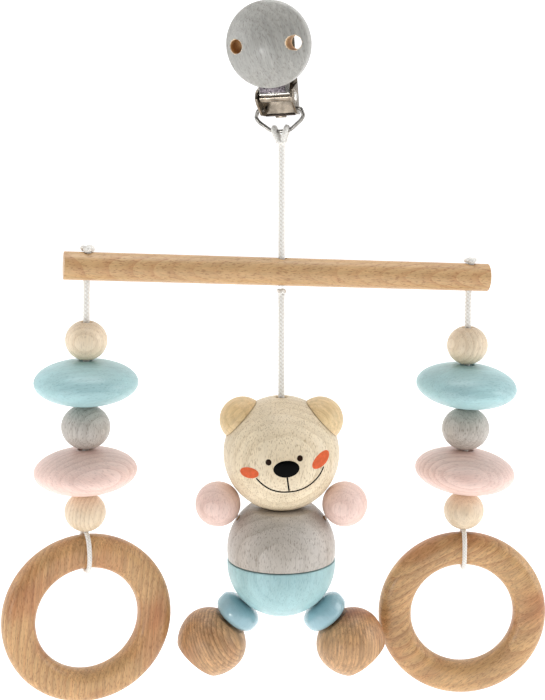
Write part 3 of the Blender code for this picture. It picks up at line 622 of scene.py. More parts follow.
def addCord(name, route, body, node, radius=braid["radius"], lay=braid["lay"]):
    addBraid(name, braidTube(route, radius, lay), body, node)


# the clip's own directions, seen from the front: across, towards the back, up
clipAcross = way("clip_open")
clipUp = -spot("bail_swing").normalized()
clipTurn = Matrix((clipAcross, clipUp.cross(clipAcross), clipUp)).transposed().to_4x4()


def inClip(bm, place=(0, 0, 0), turn=None):
    # carries a shape from the clip's frame to the toy's
    matrix = clipTurn @ Matrix.Translation(Vector(place) * mm)
    if turn is not None:
        matrix = matrix @ turn
    bmesh.ops.transform(bm, matrix=matrix, verts=bm.verts)
    return bm


def clipSpot(x, y, z):
    return clipTurn @ Vector((x, y, z))


def strandFoot(word):
    return spot(f"{word}_ring_swing")


def ringYaw(word):
    back = way(f"{word}_ring_turn")
    return math.atan2(-back.x, back.y)


def buildCentreCords():
    # the two parts of the clip cord are one braid that can twist
    top = spot("cord_swing") + Vector((0, 0, 2.2))
    bottom = Vector((top.x, top.y, spot("bar_tilt").z - 6.2))
    route = straightRoute(top, bottom, 30)
    cord = addBraid("clipCord", braidTube(route), None, "clip_cord_upper", "clip_cord_lower")
    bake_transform(cord)
    low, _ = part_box("bear_cord")
    top = spot("bear_swing") + Vector((0, 0, 1.4))
    addCord("bearCord", straightRoute(top, (top.x, top.y, low.z / mm), 36), "bear", "bear_cord")


ring = {
    "bore": 23, "width": 14.7, "thickness": 11.5, "squareness": 0.82, "steps": 144, "around": 44,
    # how far the cord hangs above the ring, and its middle from the ring's wood
    "topGap": 2.2, "cordGap": 1.4,
    # grain, pith from the middle, ring spacing, seed
    "cuts": {
        "left": ((0.1, 0, 1), (-90, 30, 0), 2.1, 0.4),
        "right": ((0.85, 0.15, 0.6), (10, 60, -50), 3.0, 2.1),
    },
}


def squaredOval(wide, tall, squareness, steps):
    # from the top round over +X, as an ellipse squared off a little
    points = []
    for i in range(steps):
        a = math.pi / 2 - 2 * math.pi * i / steps
        out = math.copysign(abs(math.cos(a)) ** squareness, math.cos(a))
        up = math.copysign(abs(math.sin(a)) ** squareness, math.sin(a))
        points.append((wide * out, tall * up))
    return points


def loopRoute(word):
    # down beside the ring's rim, round its section and up again
    half, clear, steps = ring["width"] / 2, ring["cordGap"], 48
    middle = -ring["topGap"] - half
    section = squaredOval(half, ring["thickness"] / 2, ring["squareness"], steps)
    section = [Vector(p) for p in section]
    around = []
    for i, point in enumerate(section):
        run = section[(i + 1) % steps] - section[i - 1]
        around.append(point + Vector((-run.y, run.x)).normalized() * clear)
    # open at the top, where the two ends go up into the bead
    loop = [(0, y, middle + x) for x, y in around[15:] + around[:10]]
    side = 1 if loop[0][1] > 0 else -1
    start = [(0, side * clear, z) for z in (1.6, 0.6, -0.4)]
    route = start + loop + [(0, -y, z) for _, y, z in reversed(start)]
    turn = Matrix.Rotation(ringYaw(word), 3, "Z")
    return [turn @ Vector(p) + strandFoot(word) for p in route]


def buildStrandCords(word):
    start, foot = spot(f"{word}_strand_level"), strandFoot(word)
    along = (foot - start).normalized()
    stub = braidTube(straightRoute(start - along * 1.4, start + along * 1.9, 4))
    addBraid(f"{word}Bend", stub, f"{word}_bend", f"{word}_cord_bend")
    route = straightRoute(start + along * 1.8, foot - along * 2.2, 36)
    addCord(f"{word}Strand", route, f"{word}_strand", f"{word}_strand_cord")
    thin = braid["thinRadius"], braid["thinLay"]
    addCord(f"{word}Loop", loopRoute(word), f"{word}_loop", f"{word}_ring_loop", *thin)


def buildLimbElastics():
    for word in ("left", "right"):
        for limb, end, reach in (("arm", "hand", 10.8), ("leg", "foot", 21.0)):
            start, along = spot(f"{word}_{limb}_swing"), way(f"{word}_{end}_spin")
            route = straightRoute(start + along * 0.4, start + along * reach, 10)
            bm = braidTube(route, braid["elasticRadius"], braid["elasticLay"])
            name, node = f"{word}{limb.title()}Elastic", f"{word}_{limb}_cord"
            addBraid(name, bm, f"{word}_{limb}", node, finish=elasticWhite)


# a knot is one closed turn of three lobes, seen from above, pressed flat
knots = {
    # name: node, body, reach, height, cord radius, turn in degrees
    "leftTopKnot": ("left_top_knot", "bar", 2.35, 1.1, 1.05, 12),
    "rightTopKnot": ("right_top_knot", "bar", 2.2, 0.7, 0.95, 40),
    "stopKnot": ("centre_stop_knot", "lower_cord", 1.45, 0.9, 0.85, 0),
    "endKnot": ("bear_end_knot", "bear", 2.1, 2.0, 1.2, 0),
}
topKnotSink = 2.25  # a top knot's middle below the top of its box


def trefoil(place, reach, height, turn, count=120):
    twist = Matrix.Rotation(math.radians(turn), 3, "Z")
    route = []
    for i in range(count):
        t = 2 * math.pi * i / count
        across = Vector((
            math.sin(t) + 2 * math.sin(2 * t), math.cos(t) - 2 * math.cos(2 * t), 0
        )) * reach / 3
        rise = Vector((0, 0, height / 2 * math.sin(3 * t)))
        route.append(Vector(place) + twist @ across - rise)
    return route


def buildKnots():
    for name, (node, body, reach, height, radius, turn) in knots.items():
        low, high = (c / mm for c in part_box(node))
        top = node.endswith("top_knot")
        middle = high.z - topKnotSink if top else (low.z + high.z) / 2
        place = ((low.x + high.x) / 2, (low.y + high.y) / 2, middle)
        route = trefoil(place, reach, height, turn)
        bm = braidTube(route, radius, braid["knotLay"], True, braid["knotDepth"])
        if top:
            # under the knot the cord goes on through the bar
            joinShapes(bm, braidTube(straightRoute(place, (*place[:2], low.z + 0.2), 6)))
        addBraid(name, bm, body, node)


hitch = {
    "cord": 1.22, "lay": 4.8, "bandCord": 1.0, "bandLay": 4.2,
    # one side's turn over the wire, in the clip's frame
    "lobe": [
        (0.5, 0.8, -52.2), (0.9, 1.5, -50.9), (1.6, 1.85, -49.5), (2.3, 1.9, -48.0),
        (2.7, 1.2, -46.4), (2.75, 0, -45.75), (2.7, -1.2, -46.4), (2.3, -1.9, -47.9),
        (1.7, -1.85, -49.5), (1.05, -1.5, -50.9), (0.55, -0.8, -52.1),
    ],
    "band": [
        (-1.7, -0.2, -51.6), (-1.4, -1.4, -51.7), (-0.4, -2.0, -51.75), (0.6, -1.95, -51.8),
        (1.5, -1.2, -51.7), (1.75, 0.0, -51.6), (1.3, 1.2, -51.5), (0.2, 1.8, -51.5),
        (-1.0, 1.5, -51.5), (-1.7, 0.5, -51.55), (-1.72, -0.3, -51.6),
    ],
}


def buildHitch():
    # two turns over the wire that meet in a V above a gathering turn
    bm = bmesh.new()
    for side in (-1, 1):
        route = [clipSpot(side * x, y, z) for x, y, z in hitch["lobe"]]
        joinShapes(bm, braidTube(route, hitch["cord"], hitch["lay"]))
    route = [clipSpot(*p) for p in hitch["band"]]
    joinShapes(bm, braidTube(route, hitch["bandCord"], hitch["bandLay"]))
    addBraid("hitch", bm, "bail", "cord_hitch")


buildCentreCords()
for word in ("left", "right"):
    buildStrandCords(word)
buildLimbElastics()
buildKnots()
buildHitch()
print("cords built")

bar = {
    "middle": -0.6, "half": 92.25, "radius": 6, "endRound": 0.35,
    # each hole: place along the bar, radius
    "holes": ((0, 2.3), (-82.95, 2.1), (83.45, 2.1)),
    # the grain runs out a little towards the front, which draws nested peaks along the bar
    "runOut": (0, 0.17, 0.01), "cut": ((0, 15, 0), 1.6, 0.3),
}


def buildBar():
    along = (spot("right_strand_level") - spot("left_strand_level")).normalized()
    up = along.cross(way("bar_tilt")).normalized()
    hang = spot("bar_tilt")
    half, radius, rounding = bar["half"], bar["radius"], bar["endRound"]
    end = [(0, half), (2.8, half)] + arc(rounding, 90, 0, 5, (radius - rounding, half - rounding))
    side = [(radius, z) for z in (half - 2, half - 6, half / 2, 0)]
    profile = end + side + [(x, -z) for x, z in reversed(end + side[:-1])]
    centre = hang + along * bar["middle"]
    grain = along + Vector(bar["runOut"])
    wood = woodFinish("barWood", "barBeech", centre, grain, *bar["cut"])
    bm = stand(spinProfile(profile, 64), centre, along)
    holes = [(rod(hole, 20, hang + along * x, up), boredWood) for x, hole in bar["holes"]]
    bm, finishes = cutAway(bm, holes, [wood])
    addPiece("bar", bm, "bar", finishes, ("trapeze_bar",), 35)


def ovalBead(radius, height, bore, mouth, steps=36, fullness=1.0):
    # an oval side, or a fuller one, that rolls over into the bore
    edge = math.acos(((bore + mouth) / radius) ** (1 / fullness))
    rise = height / 2 / math.sin(edge) ** fullness
    upper = []
    for i in range(steps // 2):
        a = edge * (1 - 2 * i / steps)
        upper.append((radius * math.cos(a) ** fullness, rise * math.sin(a) ** fullness))
    side = upper + [(radius, 0)] + [(x, -z) for x, z in reversed(upper)]
    rolled = arc(mouth, 90, 180, 4, (bore + mouth, height / 2 - mouth))[1:]
    return side + [(x, -z) for x, z in reversed(rolled)] + rolled[::-1]


beadBore, beadMouth = 2.7, 0.5
beads = {
    # piece: joint, body, wood, radius, height, steps
    "natural_bead_top": ("top_spin", "top", "paleMaple", 8.95, 16.0, 72),
    "blue_disc": ("blue_spin", "blue", "blueStain", 22.2, 19.2, 96),
    "grey_bead": ("grey_spin", "grey", "greyStain", 10.5, 18.4, 72),
    "pink_disc": ("pink_spin", "pink", "pinkStain", 22.2, 19.2, 96),
    "natural_bead_bottom": ("stack_lift", "bottom_bead", "paleMaple", 8.95, 16.0, 72),
}
# how each bead was cut from its tree, in the order above: grain, pith from its middle, ring spacing
beadCuts = {
    "left": (
        ((0, 0, 1), (-2, 26, 0), 2.0), ((1, 0.1, 0.1), (0, 20, 60), 2.6),
        ((0.1, 0, 1), (-45, 40, 0), 2.2), ((0.85, 0.2, -0.5), (0, 35, -20), 2.8),
        ((0.1, 0, 1), (-40, 10, 0), 1.7),
    ),
    "right": (
        ((0.2, 0, 1), (30, 20, 0), 2.2), ((1, 0.3, 0), (0, 30, 50), 2.4),
        ((0, 0.3, 1), (25, 30, 0), 2.0), ((1, 0, 0.1), (0, 45, -30), 2.4),
        ((0, 0.2, 1), (-6, 30, 0), 1.8),
    ),
}


def buildBeads(word):
    for i, (bead, (joint, body, wood, radius, height, steps)) in enumerate(beads.items()):
        node = f"{word}_{bead}"
        centre = middleOf(node)
        profile = ovalBead(radius, height, beadBore, beadMouth, steps // 2)
        bm = stand(spinProfile(profile, steps, True), centre, way(f"{word}_{joint}"))
        seed = i * 0.37 + (0 if word == "left" else 1.7)
        finish = woodFinish(f"{node}_wood", wood, centre, *beadCuts[word][i], seed)
        addPiece(f"{node}_turned", bm, f"{word}_{body}", finish, (node,))


def buildRing(word):
    name, node = f"{word}RingWood", f"{word}_ring"
    centre = middleOf(node)
    half, deep = ring["width"] / 2, ring["thickness"] / 2
    section = squaredOval(half, deep, ring["squareness"], ring["around"])
    profile = [(ring["bore"] + half + x, z) for x, z in section]
    bm = stand(spinProfile(profile, ring["steps"], True), centre, -way(f"{word}_ring_turn"))
    finish = woodFinish(name, "ringBeech", centre, *ring["cuts"][word])
    addPiece(name, bm, node, finish, (node,))


buildBar()
for word in ("left", "right"):
    buildBeads(word)
    buildRing(word)
print("bar, beads and rings built")

bear = {
    "headRadius": 25.3, "headFlat": 24.1, "crownHole": 3.1, "crownDepth": 0.45, "cordHole": 2.7,
    "earRadius": 10.1, "earReach": 22.5, "earAngle": 41.6, "earSeat": 0.3,
    "torsoRadius": 23.85, "chestHeight": 23.4, "chestRise": 4.7, "hipsSink": 1.8,
    "split": 0.2, "edge": 0.4, "pocketRadius": 4.6, "pocketDepth": 11, "limbHole": 1.5,
    "handRadius": 9.9, "handFlat": 9.5, "handHoleTop": 0.6,
    # radius, height, fullness
    "legBead": (10.2, 11.0, 0.72),
    "foot": {
        "radius": 15.4, "length": 24.2, "neck": 8.0, "sole": 11.5, "dome": 1.6, "holeDepth": 9.9,
        "widest": 0.47,
    },
}
# how each piece was cut from its tree: grain, pith from its middle, ring spacing, seed
bearCuts = {
    "head": ((0.03, 0, 1), (-2, 46, 4), 3.4, 0.9),
    "leftEar": ((0.75, 0.2, 0.7), (20, 45, 0), 1.9, -0.7),
    "rightEar": ((-0.75, 0.2, 0.7), (20, 45, 0), 1.9, 0.7),
    "chest": ((0.05, 0, 1), (4, 42, 0), 3.6, 0.5), "hips": ((0.03, 0, 1), (-6, 46, 0), 3.2, 1.3),
    "hand": ((0.1, 0, 1), (12, 34, 0), 2.4, 0.6), "legBead": ((20, 30, 0), 1.8, 0.2),
    "leftFoot": ((-0.4, 0.1, 0.9), (-140, 40, 0), 1.5, 0.8),
    "rightFoot": ((0.05, 0.05, 1), (150, 30, 0), 1.45, 2.6),
}
headCentre = spot("head_turn")
torsoSplit = spot("hips_turn")


def addWooden(name, bm, body, node, wood, centre, *cut, holes=()):
    # a turned piece with its own cut of wood, and any holes bored into it
    finish = woodFinish(f"{name}Wood", wood, centre, *cut)
    if holes:
        bm, finish = cutAway(bm, holes, [finish])
    addPiece(name, bm, body, finish, (node,))


def ball(radius, place, axis=(0, 0, 1), around=64, up=40):
    bm = bmesh.new()
    bmesh.ops.create_uvsphere(bm, u_segments=around, v_segments=up, radius=radius * mm)
    return stand(bm, place, axis)


def buildHead():
    radius, flat, hole = bear["headRadius"], bear["headFlat"], bear["crownHole"]
    top, bottom = math.degrees(math.acos(hole / radius)), -math.degrees(math.asin(flat / radius))
    floor = math.sqrt(radius**2 - hole**2) - bear["crownDepth"]
    bore = [(bear["cordHole"], -flat), (bear["cordHole"], floor)]
    bm = stand(spinProfile(arc(radius, top, bottom, 64) + bore, 112, True), headCentre)
    addWooden("head", bm, "head", "bear_head", "faceWood", headCentre, *bearCuts["head"])
    for sign, word in ((-1, "left"), (1, "right")):
        name, a = f"{word}Ear", math.radians(bear["earAngle"])
        place = headCentre + Vector((sign * math.cos(a), 0, math.sin(a))) * bear["earReach"]
        seat = ball(radius + bear["earSeat"], headCentre, around=96, up=64)
        ear, _ = cutAway(ball(bear["earRadius"], place, (0, -1, 0)), [(seat, None)])
        addWooden(name, ear, "head", f"ear_{word}", "earWood", place, *bearCuts[name])


def limbHoles(limb, end):
    holes = []
    for word in ("left", "right"):
        place, along = spot(f"{word}_{limb}_swing"), way(f"{word}_{end}_spin")
        holes.append((rod(bear["limbHole"], 8, place, along, 24), boredWood))
    return holes


def buildTorso():
    radius, split, edge = bear["torsoRadius"], bear["split"], bear["edge"]
    height, rise, sink = bear["chestHeight"], bear["chestRise"], bear["hipsSink"]

    def ballSide(middle, start):
        # from the start angle down to the rounded edge at the split
        stop = math.degrees(math.asin((split + edge - middle) / radius))
        side = arc(radius, start, stop, 44, (0, middle))
        return side + arc(edge, -8, -90, 5, (side[-1][0] - edge, split + edge))[1:]

    hole = bear["cordHole"]
    side = ballSide(rise, math.degrees(math.asin((height - rise) / radius)))
    bm = stand(spinProfile(side + [(hole, split), (hole, height)], 112, True), torsoSplit)
    wood = ("torso_upper", "greyStain", torsoSplit, *bearCuts["chest"])
    addWooden("chest", bm, "chest", *wood, holes=limbHoles("arm", "hand"))

    side = [(0, radius + sink)] + ballSide(sink, 90)[1:]
    pocket, depth = bear["pocketRadius"], split + bear["pocketDepth"]
    profile = [(x, -z) for x, z in side] + [(pocket, -split), (pocket, -depth), (0, -depth)]
    bm = stand(spinProfile(profile, 112), torsoSplit)
    wood = ("torso_lower", "blueStain", torsoSplit, *bearCuts["hips"])
    addWooden("hips", bm, "hips", *wood, holes=limbHoles("leg", "foot"))


def footProfile(steps=26):
    # a ball that narrows to its neck above and to its slightly domed sole below
    foot = bear["foot"]
    radius, length, sole = foot["radius"], foot["length"], foot["sole"]
    neckTurn, soleTurn = math.acos(foot["neck"] / radius), math.acos(sole / radius)
    widest, soleZ = length * foot["widest"], length - foot["dome"]
    points = [(0, length), (sole * 0.35, length - 0.12), (sole * 0.65, length - 0.55)]
    points.append((sole - 0.7, soleZ + 0.32))
    for i in range(steps + 1):
        a = soleTurn * (1 - i / steps)
        drop = (soleZ - widest) * math.sin(a) / math.sin(soleTurn)
        points.append((radius * math.cos(a), widest + drop))
    for i in range(1, steps + 1):
        a = neckTurn * i / steps
        points.append((radius * math.cos(a), widest - widest * math.sin(a) / math.sin(neckTurn)))
    hole, depth = bear["limbHole"], foot["holeDepth"]
    return points + [(foot["neck"] - 0.35, 0), (hole, 0), (hole, depth), (0, depth)]


def addLimb(word, part, node, profile, steps, closed, wood, cut, middle=0):
    place, along = spot(f"{word}_{node}_spin"), way(f"{word}_{node}_spin")
    bm = stand(spinProfile(profile, steps, closed), place, along)
    node = f"{word}_{node}"
    addWooden(word + part, bm, node, node, wood, place + along * middle, *cut)


def buildLimbs():
    hole, top = bear["limbHole"], bear["handHoleTop"]
    radius, flat = bear["handRadius"], bear["handFlat"]
    side = arc(radius, 90, -math.degrees(math.asin(flat / radius)), 48)
    hand = [(0, radius)] + side[1:] + [(hole, -flat), (hole, top), (0, top)]
    radius, height, fullness = bear["legBead"]
    bead = ovalBead(radius, height, hole, beadMouth, 44, fullness)
    for word in ("left", "right"):
        beadCut = (way(f"{word}_leg_bead_spin"), *bearCuts["legBead"])
        addLimb(word, "Hand", "hand", hand, 80, False, "pinkStain", bearCuts["hand"])
        addLimb(word, "LegBead", "leg_bead", bead, 80, True, "blueGloss", beadCut)
        footCut = bearCuts[f"{word}Foot"]
        addLimb(word, "Foot", "foot", footProfile(), 96, False, "footBeech", footCut, 11)


face = {
    "radius": bear["headRadius"], "relief": 0.05, "clear": 0.03,
    "brown": srgb(40, 24, 16), "black": srgb(2, 2, 2), "orange": srgb(218, 102, 64),
    "line": srgb(18, 13, 12),
    # each spot from the head's middle: place, half width, half height, turn in degrees
    "eyes": [((-5.55, -24.64, 2.1), 1.3, 1.35, 0), ((7.76, -23.86, 3.64), 1.3, 1.35, 0)],
    "nose": ((2.09, -25.25, -0.79), 5.7, 3.75, 4),
    "cheeks": [
        ((-13.94, -20.89, -3.48), 4.9, 2.5, 3), ((17.08, -18.64, 1.77), 5.7, 2.9, 27),
    ],
    "mouth": [
        (-10.87, -22.26, -5.39), (-8.32, -22.61, -7.89), (-4.93, -22.7, -10.14),
        (-1.1, -22.67, -11.3), (2.3, -22.48, -11.48), (6.13, -21.92, -11.15),
        (9.97, -21.06, -9.98), (13.39, -20.05, -7.84), (16.18, -18.88, -4.94),
        (18.06, -17.73, -1.42),
    ],
    "philtrum": [(2.27, -24.9, -3.6), (2.75, -23.9, -7.6), (3.19, -22.59, -11.05)],
    "mouthWidth": 0.8, "philtrumWidth": 0.72,
}


def onHead(direction, lift):
    # a place on the head, raised by lift of the paint's thickness
    height = face["radius"] + face["clear"] + face["relief"] * lift
    return (headCentre + direction.normalized() * height) * mm


def paintSpot(name, place, width, height, turn, finish, steps=7):
    # an oval skin of paint that lies on the head
    bm = bmesh.new()
    line = [bm.verts.new((i / steps, 0, 0)) for i in range(steps + 1)]
    spinLine(bm, line + [bm.edges.new(pair) for pair in zip(line, line[1:])], 48)
    bmesh.ops.remove_doubles(bm, verts=bm.verts, dist=0.0001)
    out = Vector(place).normalized()
    right = Vector((0, 0, 1)).cross(out).normalized()
    up = out.cross(right)
    a = math.radians(turn)
    wide = (right * math.cos(a) + up * math.sin(a)) * width
    tall = (up * math.cos(a) - right * math.sin(a)) * height
    for vert in bm.verts:
        reach = min(1, vert.co.xy.length)
        direction = out * face["radius"] + wide * vert.co.x + tall * vert.co.y
        vert.co = onHead(direction, math.sqrt(max(0, 1 - reach**4)))
    bmesh.ops.recalc_face_normals(bm, faces=bm.faces)
    if bm.faces[0].normal.dot(out) < 0:
        bmesh.ops.reverse_faces(bm, faces=bm.faces)
    addPiece(name, bm, "head", finish, (), 60)


def paintLine(name, spots, width, finish, ends=(0.45, 0.8, 0.95, 1)):
    # a tube laid along the head, tapered at its ends, then pressed to the paint's thickness
    radius = face["radius"]
    line = [headCentre + p.normalized() * radius for p in smoothRoute(spots, 0.4)]
    tapers = [ends[min(i, len(line) - 1 - i, 3)] for i in range(len(line))]
    bm = healMesh(roundTube(line, width / 2, 4, False, tapers))
    for vert in bm.verts:
        out = vert.co / mm - headCentre
        vert.co = onHead(out, max((out.length - radius) / (width / 2), -0.5))
    addPiece(name, bm, "head", finish, (), 80)


def paintFinish(name, colour, rough):
    finish, shader = noisyFinish(name, colour, rough, (700, 2000), (0.88, 1.1), 0.05, 0)
    shader.inputs["Specular IOR Level"].default_value = 0.06
    return finish


def buildFace():
    brown = paintFinish("eyePaint", face["brown"], 0.3)
    black = paintFinish("nosePaint", face["black"], 0.2)
    orange = paintFinish("cheekPaint", face["orange"], 0.5)
    line = paintFinish("mouthPaint", face["line"], 0.45)
    for i, mark in enumerate(face["eyes"]):
        paintSpot(f"eye{i}", *mark, brown)
    paintSpot("nose", *face["nose"], black)
    for i, mark in enumerate(face["cheeks"]):
        paintSpot(f"cheek{i}", *mark, orange)
    for name in ("mouth", "philtrum"):
        paintLine(name, face[name], face[f"{name}Width"], line)


buildHead()
buildTorso()
buildLimbs()
buildFace()
print("bear built")

# places in the clip's frame: across, towards the back, up
clip = {"pin": (0, -3.4, -33.0), "bail": (0, 0, -38.2), "bailWire": 0.8}
# carries a strip's outline (depth, height) to the clip's Y and Z
sideways = Matrix(((0, 1, 0, 0), (1, 0, 0, 0), (0, 0, 1, 0), (0, 0, 0, 1)))
forward = Matrix.Rotation(math.radians(90), 4, "X")
lying = Matrix.Rotation(math.radians(90), 4, "Y")


def slab(low, high, edge=0.15, segments=2):
    # a box with rounded edges between two corners, in millimetres
    bm = bmesh.new()
    bmesh.ops.create_cube(bm, size=1)
    low, high = Vector(low) * mm, Vector(high) * mm
    bmesh.ops.scale(bm, vec=high - low, verts=bm.verts)
    bmesh.ops.translate(bm, vec=(low + high) / 2, verts=bm.verts)
    roundEdges(bm, bm.edges[:], edge, segments)
    return bm


def sheet(outline, thickness, edge=0.15):
    # an outline of (x, z) points in millimetres, raised towards +Y and rounded at its edges
    bm = bmesh.new()
    face = bm.faces.new([bm.verts.new((x * mm, 0, z * mm)) for x, z in outline])
    raised = bmesh.ops.extrude_face_region(bm, geom=[face])["geom"]
    moved = [g for g in raised if isinstance(g, bmesh.types.BMVert)]
    bmesh.ops.translate(bm, vec=(0, thickness * mm, 0), verts=moved)
    bmesh.ops.recalc_face_normals(bm, faces=bm.faces)
    rims = [e for e in bm.edges if abs(e.verts[0].co.y - e.verts[1].co.y) < 1e-7]
    roundEdges(bm, rims, edge)
    return bm


def hullOutline(points):
    # the outline round some flat points, in order
    points = sorted(set(points))

    def bends(a, b, c):
        return (b[0] - a[0]) * (c[1] - a[1]) - (b[1] - a[1]) * (c[0] - a[0]) > 1e-9

    def half(run):
        chain = []
        for p in run:
            while len(chain) > 1 and not bends(chain[-2], chain[-1], p):
                chain.pop()
            chain.append(p)
        return chain[:-1]

    return half(points) + half(points[::-1])


def turnSheet(bm, x):
    matrix = Matrix.Translation((x * mm, 0, 0)) @ sideways
    bmesh.ops.transform(bm, matrix=matrix, verts=bm.verts)
    bmesh.ops.recalc_face_normals(bm, faces=bm.faces)
    return bm


plate = {
    "half": 8.1, "top": 2.6, "bottom": -41, "back": (1.85, 2.85), "corner": 1.8,
    "cheek": 1.0, "cheekTop": -27.5, "cheekRadius": 3.6, "lugRadius": 2.4,
    # a raised ring round the pin: its profile, and how far out it sits
    "boss": [(1.95, 0.1), (2.1, 0.36), (2.6, 0.3), (2.95, 0), (2.95, -0.4), (1.95, -0.4)],
    "bossReach": 8.05,
    "tab": ((-2.4, 1.6, -41.9), (2.4, 2.4, -40.8)),
    "turnedEdge": ((-6.6, 1.2, -41.15), (6.6, 2.0, -40.2)),
}


def buildPlate():
    half, top, bottom, corner = plate["half"], plate["top"], plate["bottom"], plate["corner"]
    near, far = plate["back"]
    _, pinY, pinZ = clip["pin"]
    outline = [(-half, bottom), (half, bottom)]
    outline += arc(corner, 0, 90, 8, (half - corner, top - corner))
    outline += arc(corner, 90, 180, 8, (corner - half, top - corner))
    bm = sheet(outline, far - near)
    bmesh.ops.translate(bm, vec=(0, near * mm, 0), verts=bm.verts)
    cheek = [(y, z) for y in (near, far) for z in (plate["cheekTop"], bottom)]
    cheek += arc(plate["cheekRadius"], 0, 360, 48, (pinY, pinZ))[:-1]
    cheek += arc(plate["lugRadius"], 0, 360, 36, (0, clip["bail"][2]))[:-1]
    for side, inner in ((-1, -half), (1, half - plate["cheek"])):
        joinShapes(bm, turnSheet(sheet(hullOutline(cheek), plate["cheek"]), inner))
        boss = spinProfile(plate["boss"], 40, True)
        place = Matrix.Translation(Vector((side * plate["bossReach"], pinY, pinZ)) * mm)
        turn = Matrix.Rotation(math.radians(side * 90), 4, "Y")
        bmesh.ops.transform(boss, matrix=place @ turn, verts=boss.verts)
        joinShapes(bm, boss)
    joinShapes(bm, slab(*plate["tab"], 0.2))
    addPiece("backPlate", inClip(bm), "clip", nickelPlate, ("clip_back_plate",), 30)
    # the turned-in bottom edge is painted dark as shade
    edge = inClip(slab(*plate["turnedEdge"], 0.25))
    addPiece("turnedEdge", edge, "clip", edgeShadeNickel, (), 30)


pad = {
    "low": (-6.6, 0.45, -5.2), "high": (6.6, 1.55, 1.8),
    # ribs across its face
    "ribs": 7, "firstRib": -4.6, "ribGap": 0.95, "ribHalf": 0.22, "ribWide": 6.2,
    "ribDepth": (0.17, 0.8),
}


def buildPad():
    bm = slab(pad["low"], pad["high"], 0.25, 3)
    wide, half, (near, far) = pad["ribWide"], pad["ribHalf"], pad["ribDepth"]
    for i in range(pad["ribs"]):
        z = pad["firstRib"] + i * pad["ribGap"]
        joinShapes(bm, slab((-wide, near, z - half), (wide, far, z + half), 0.12))
    addPiece("jawPad", inClip(bm), "clip", padPlastic, ("clip_jaw_pad",), 40)


def buildPin():
    head = [(0, 9.1), (0.7, 9.08), (1.3, 8.95), (1.75, 8.7), (1.9, 8.42), (0.8, 8.4)]
    pin = inClip(spinProfile(head + [(x, -z) for x, z in reversed(head)], 40), clip["pin"], lying)
    addPiece("hingePin", pin, "clip", nickel, ("clip_hinge_pin",), 35)


lever = {
    "half": 6.7, "depth": -1.5, "straightTop": 29.5, "lip": (-0.2, 0.9), "thickness": 0.8,
    "barrel": [(1.1, 6.7), (1.75, 6.7), (1.9, 6.55)],
    # the fold between the sheet and its barrel, bright against the barrel's painted shade, and the
    # stippled band on it
    "fold": (0.42, 13.2, (0, -5.12, -31.45)),
    "band": ((-6.1, -5.52, -30.9), (4.9, -5.0, -27.6)),
}


def buildLever():
    # the sheet, from its barrel up to the lip that presses on the pad, about the pin
    _, hingeY, hingeZ = clip["pin"]
    depth, straight, wide = lever["depth"], lever["straightTop"], lever["half"]
    lipY, lipZ = lever["lip"][0] - hingeY, lever["lip"][1] - hingeZ
    line = [(depth, z) for z in (1.0, 10, 20, straight)]
    for i in range(1, 15):
        a = math.pi / 2 * i / 14
        out = (lipY - depth) * (1 - math.cos(a))
        line.append((depth + out, straight + (lipZ - straight) * math.sin(a)))
    left, right = [], []
    for i, (y, z) in enumerate(line):
        before, after = line[max(i - 1, 0)], line[min(i + 1, len(line) - 1)]
        run, rise = after[0] - before[0], after[1] - before[1]
        scale = lever["thickness"] / 2 / math.hypot(run, rise)
        left.append((y - rise * scale + hingeY, z + run * scale + hingeZ))
        right.append((y + rise * scale + hingeY, z - run * scale + hingeZ))
    bm = turnSheet(sheet(left + right[::-1], 2 * wide, 0.12), -wide)
    barrel = lever["barrel"] + [(r, -x) for r, x in reversed(lever["barrel"])]
    barrel = inClip(spinProfile(barrel, 48, True), clip["pin"], lying)
    # the barrel wears the darker plate nickel: painted shade beside the bright fold
    addPiece("leverBarrel", barrel, "clip_front", nickelPlate, (), 30)
    joinShapes(bm, rod(*lever["fold"], (1, 0, 0), 24))
    addPiece("lever", inClip(bm), "clip_front", nickel, ("clip_lever",), 30)
    band = inClip(slab(*lever["band"], 0.14))
    addPiece("band", band, "clip_front", stippledNickel, (), 30)


cover = {
    "place": (0, -5.6, -10.8), "radius": 18, "dome": 27, "edge": 17.2, "rim": 5.3, "back": 1.0,
    "ventRadius": 2.95, "ventPlace": 12.4, "ventFloor": 1.5, "ventRim": 0.42,
    # the rounding from dome to side: radius, drop below the rim
    "shoulder": [(17.55, 0.32), (17.82, 0.7), (17.95, 1.1), (18, 1.5)],
}


def buildCover():
    dome, edge, rimHeight, back = cover["dome"], cover["edge"], cover["rim"], cover["back"]
    crown = rimHeight + dome - math.sqrt(dome**2 - edge**2)
    bend = 90 - math.degrees(math.asin(edge / dome))
    top = [(0, crown)] + arc(dome, 90, bend, 40, (0, crown - dome))[1:]
    side = [(x, rimHeight - drop) for x, drop in cover["shoulder"]]
    base = arc(back, 0, -90, 8, (cover["radius"] - back, back)) + [(8, 0), (0, 0)]
    bm = spinProfile(top + side + base, 128)
    # the left vent stops short of the back, the right one goes through
    holes = []
    for x, low in ((-cover["ventPlace"], cover["ventFloor"]), (cover["ventPlace"], -3)):
        vent = rod(cover["ventRadius"], 30, (x, 0, low + 15), segments=48)
        holes.append((vent, boredWood))
    bm, _ = cutAway(bm, holes, [coverWood])

    def isRim(edge):
        return len({face.material_index for face in edge.link_faces}) > 1

    roundEdges(bm, [e for e in bm.edges if isRim(e)], cover["ventRim"], 3, 2)
    finishes = [coverWood, boredWood, rimWood]
    bm = inClip(bm, cover["place"], forward)
    addPiece("cover", bm, "clip_front", finishes, ("clip_wood_cover",), 35)


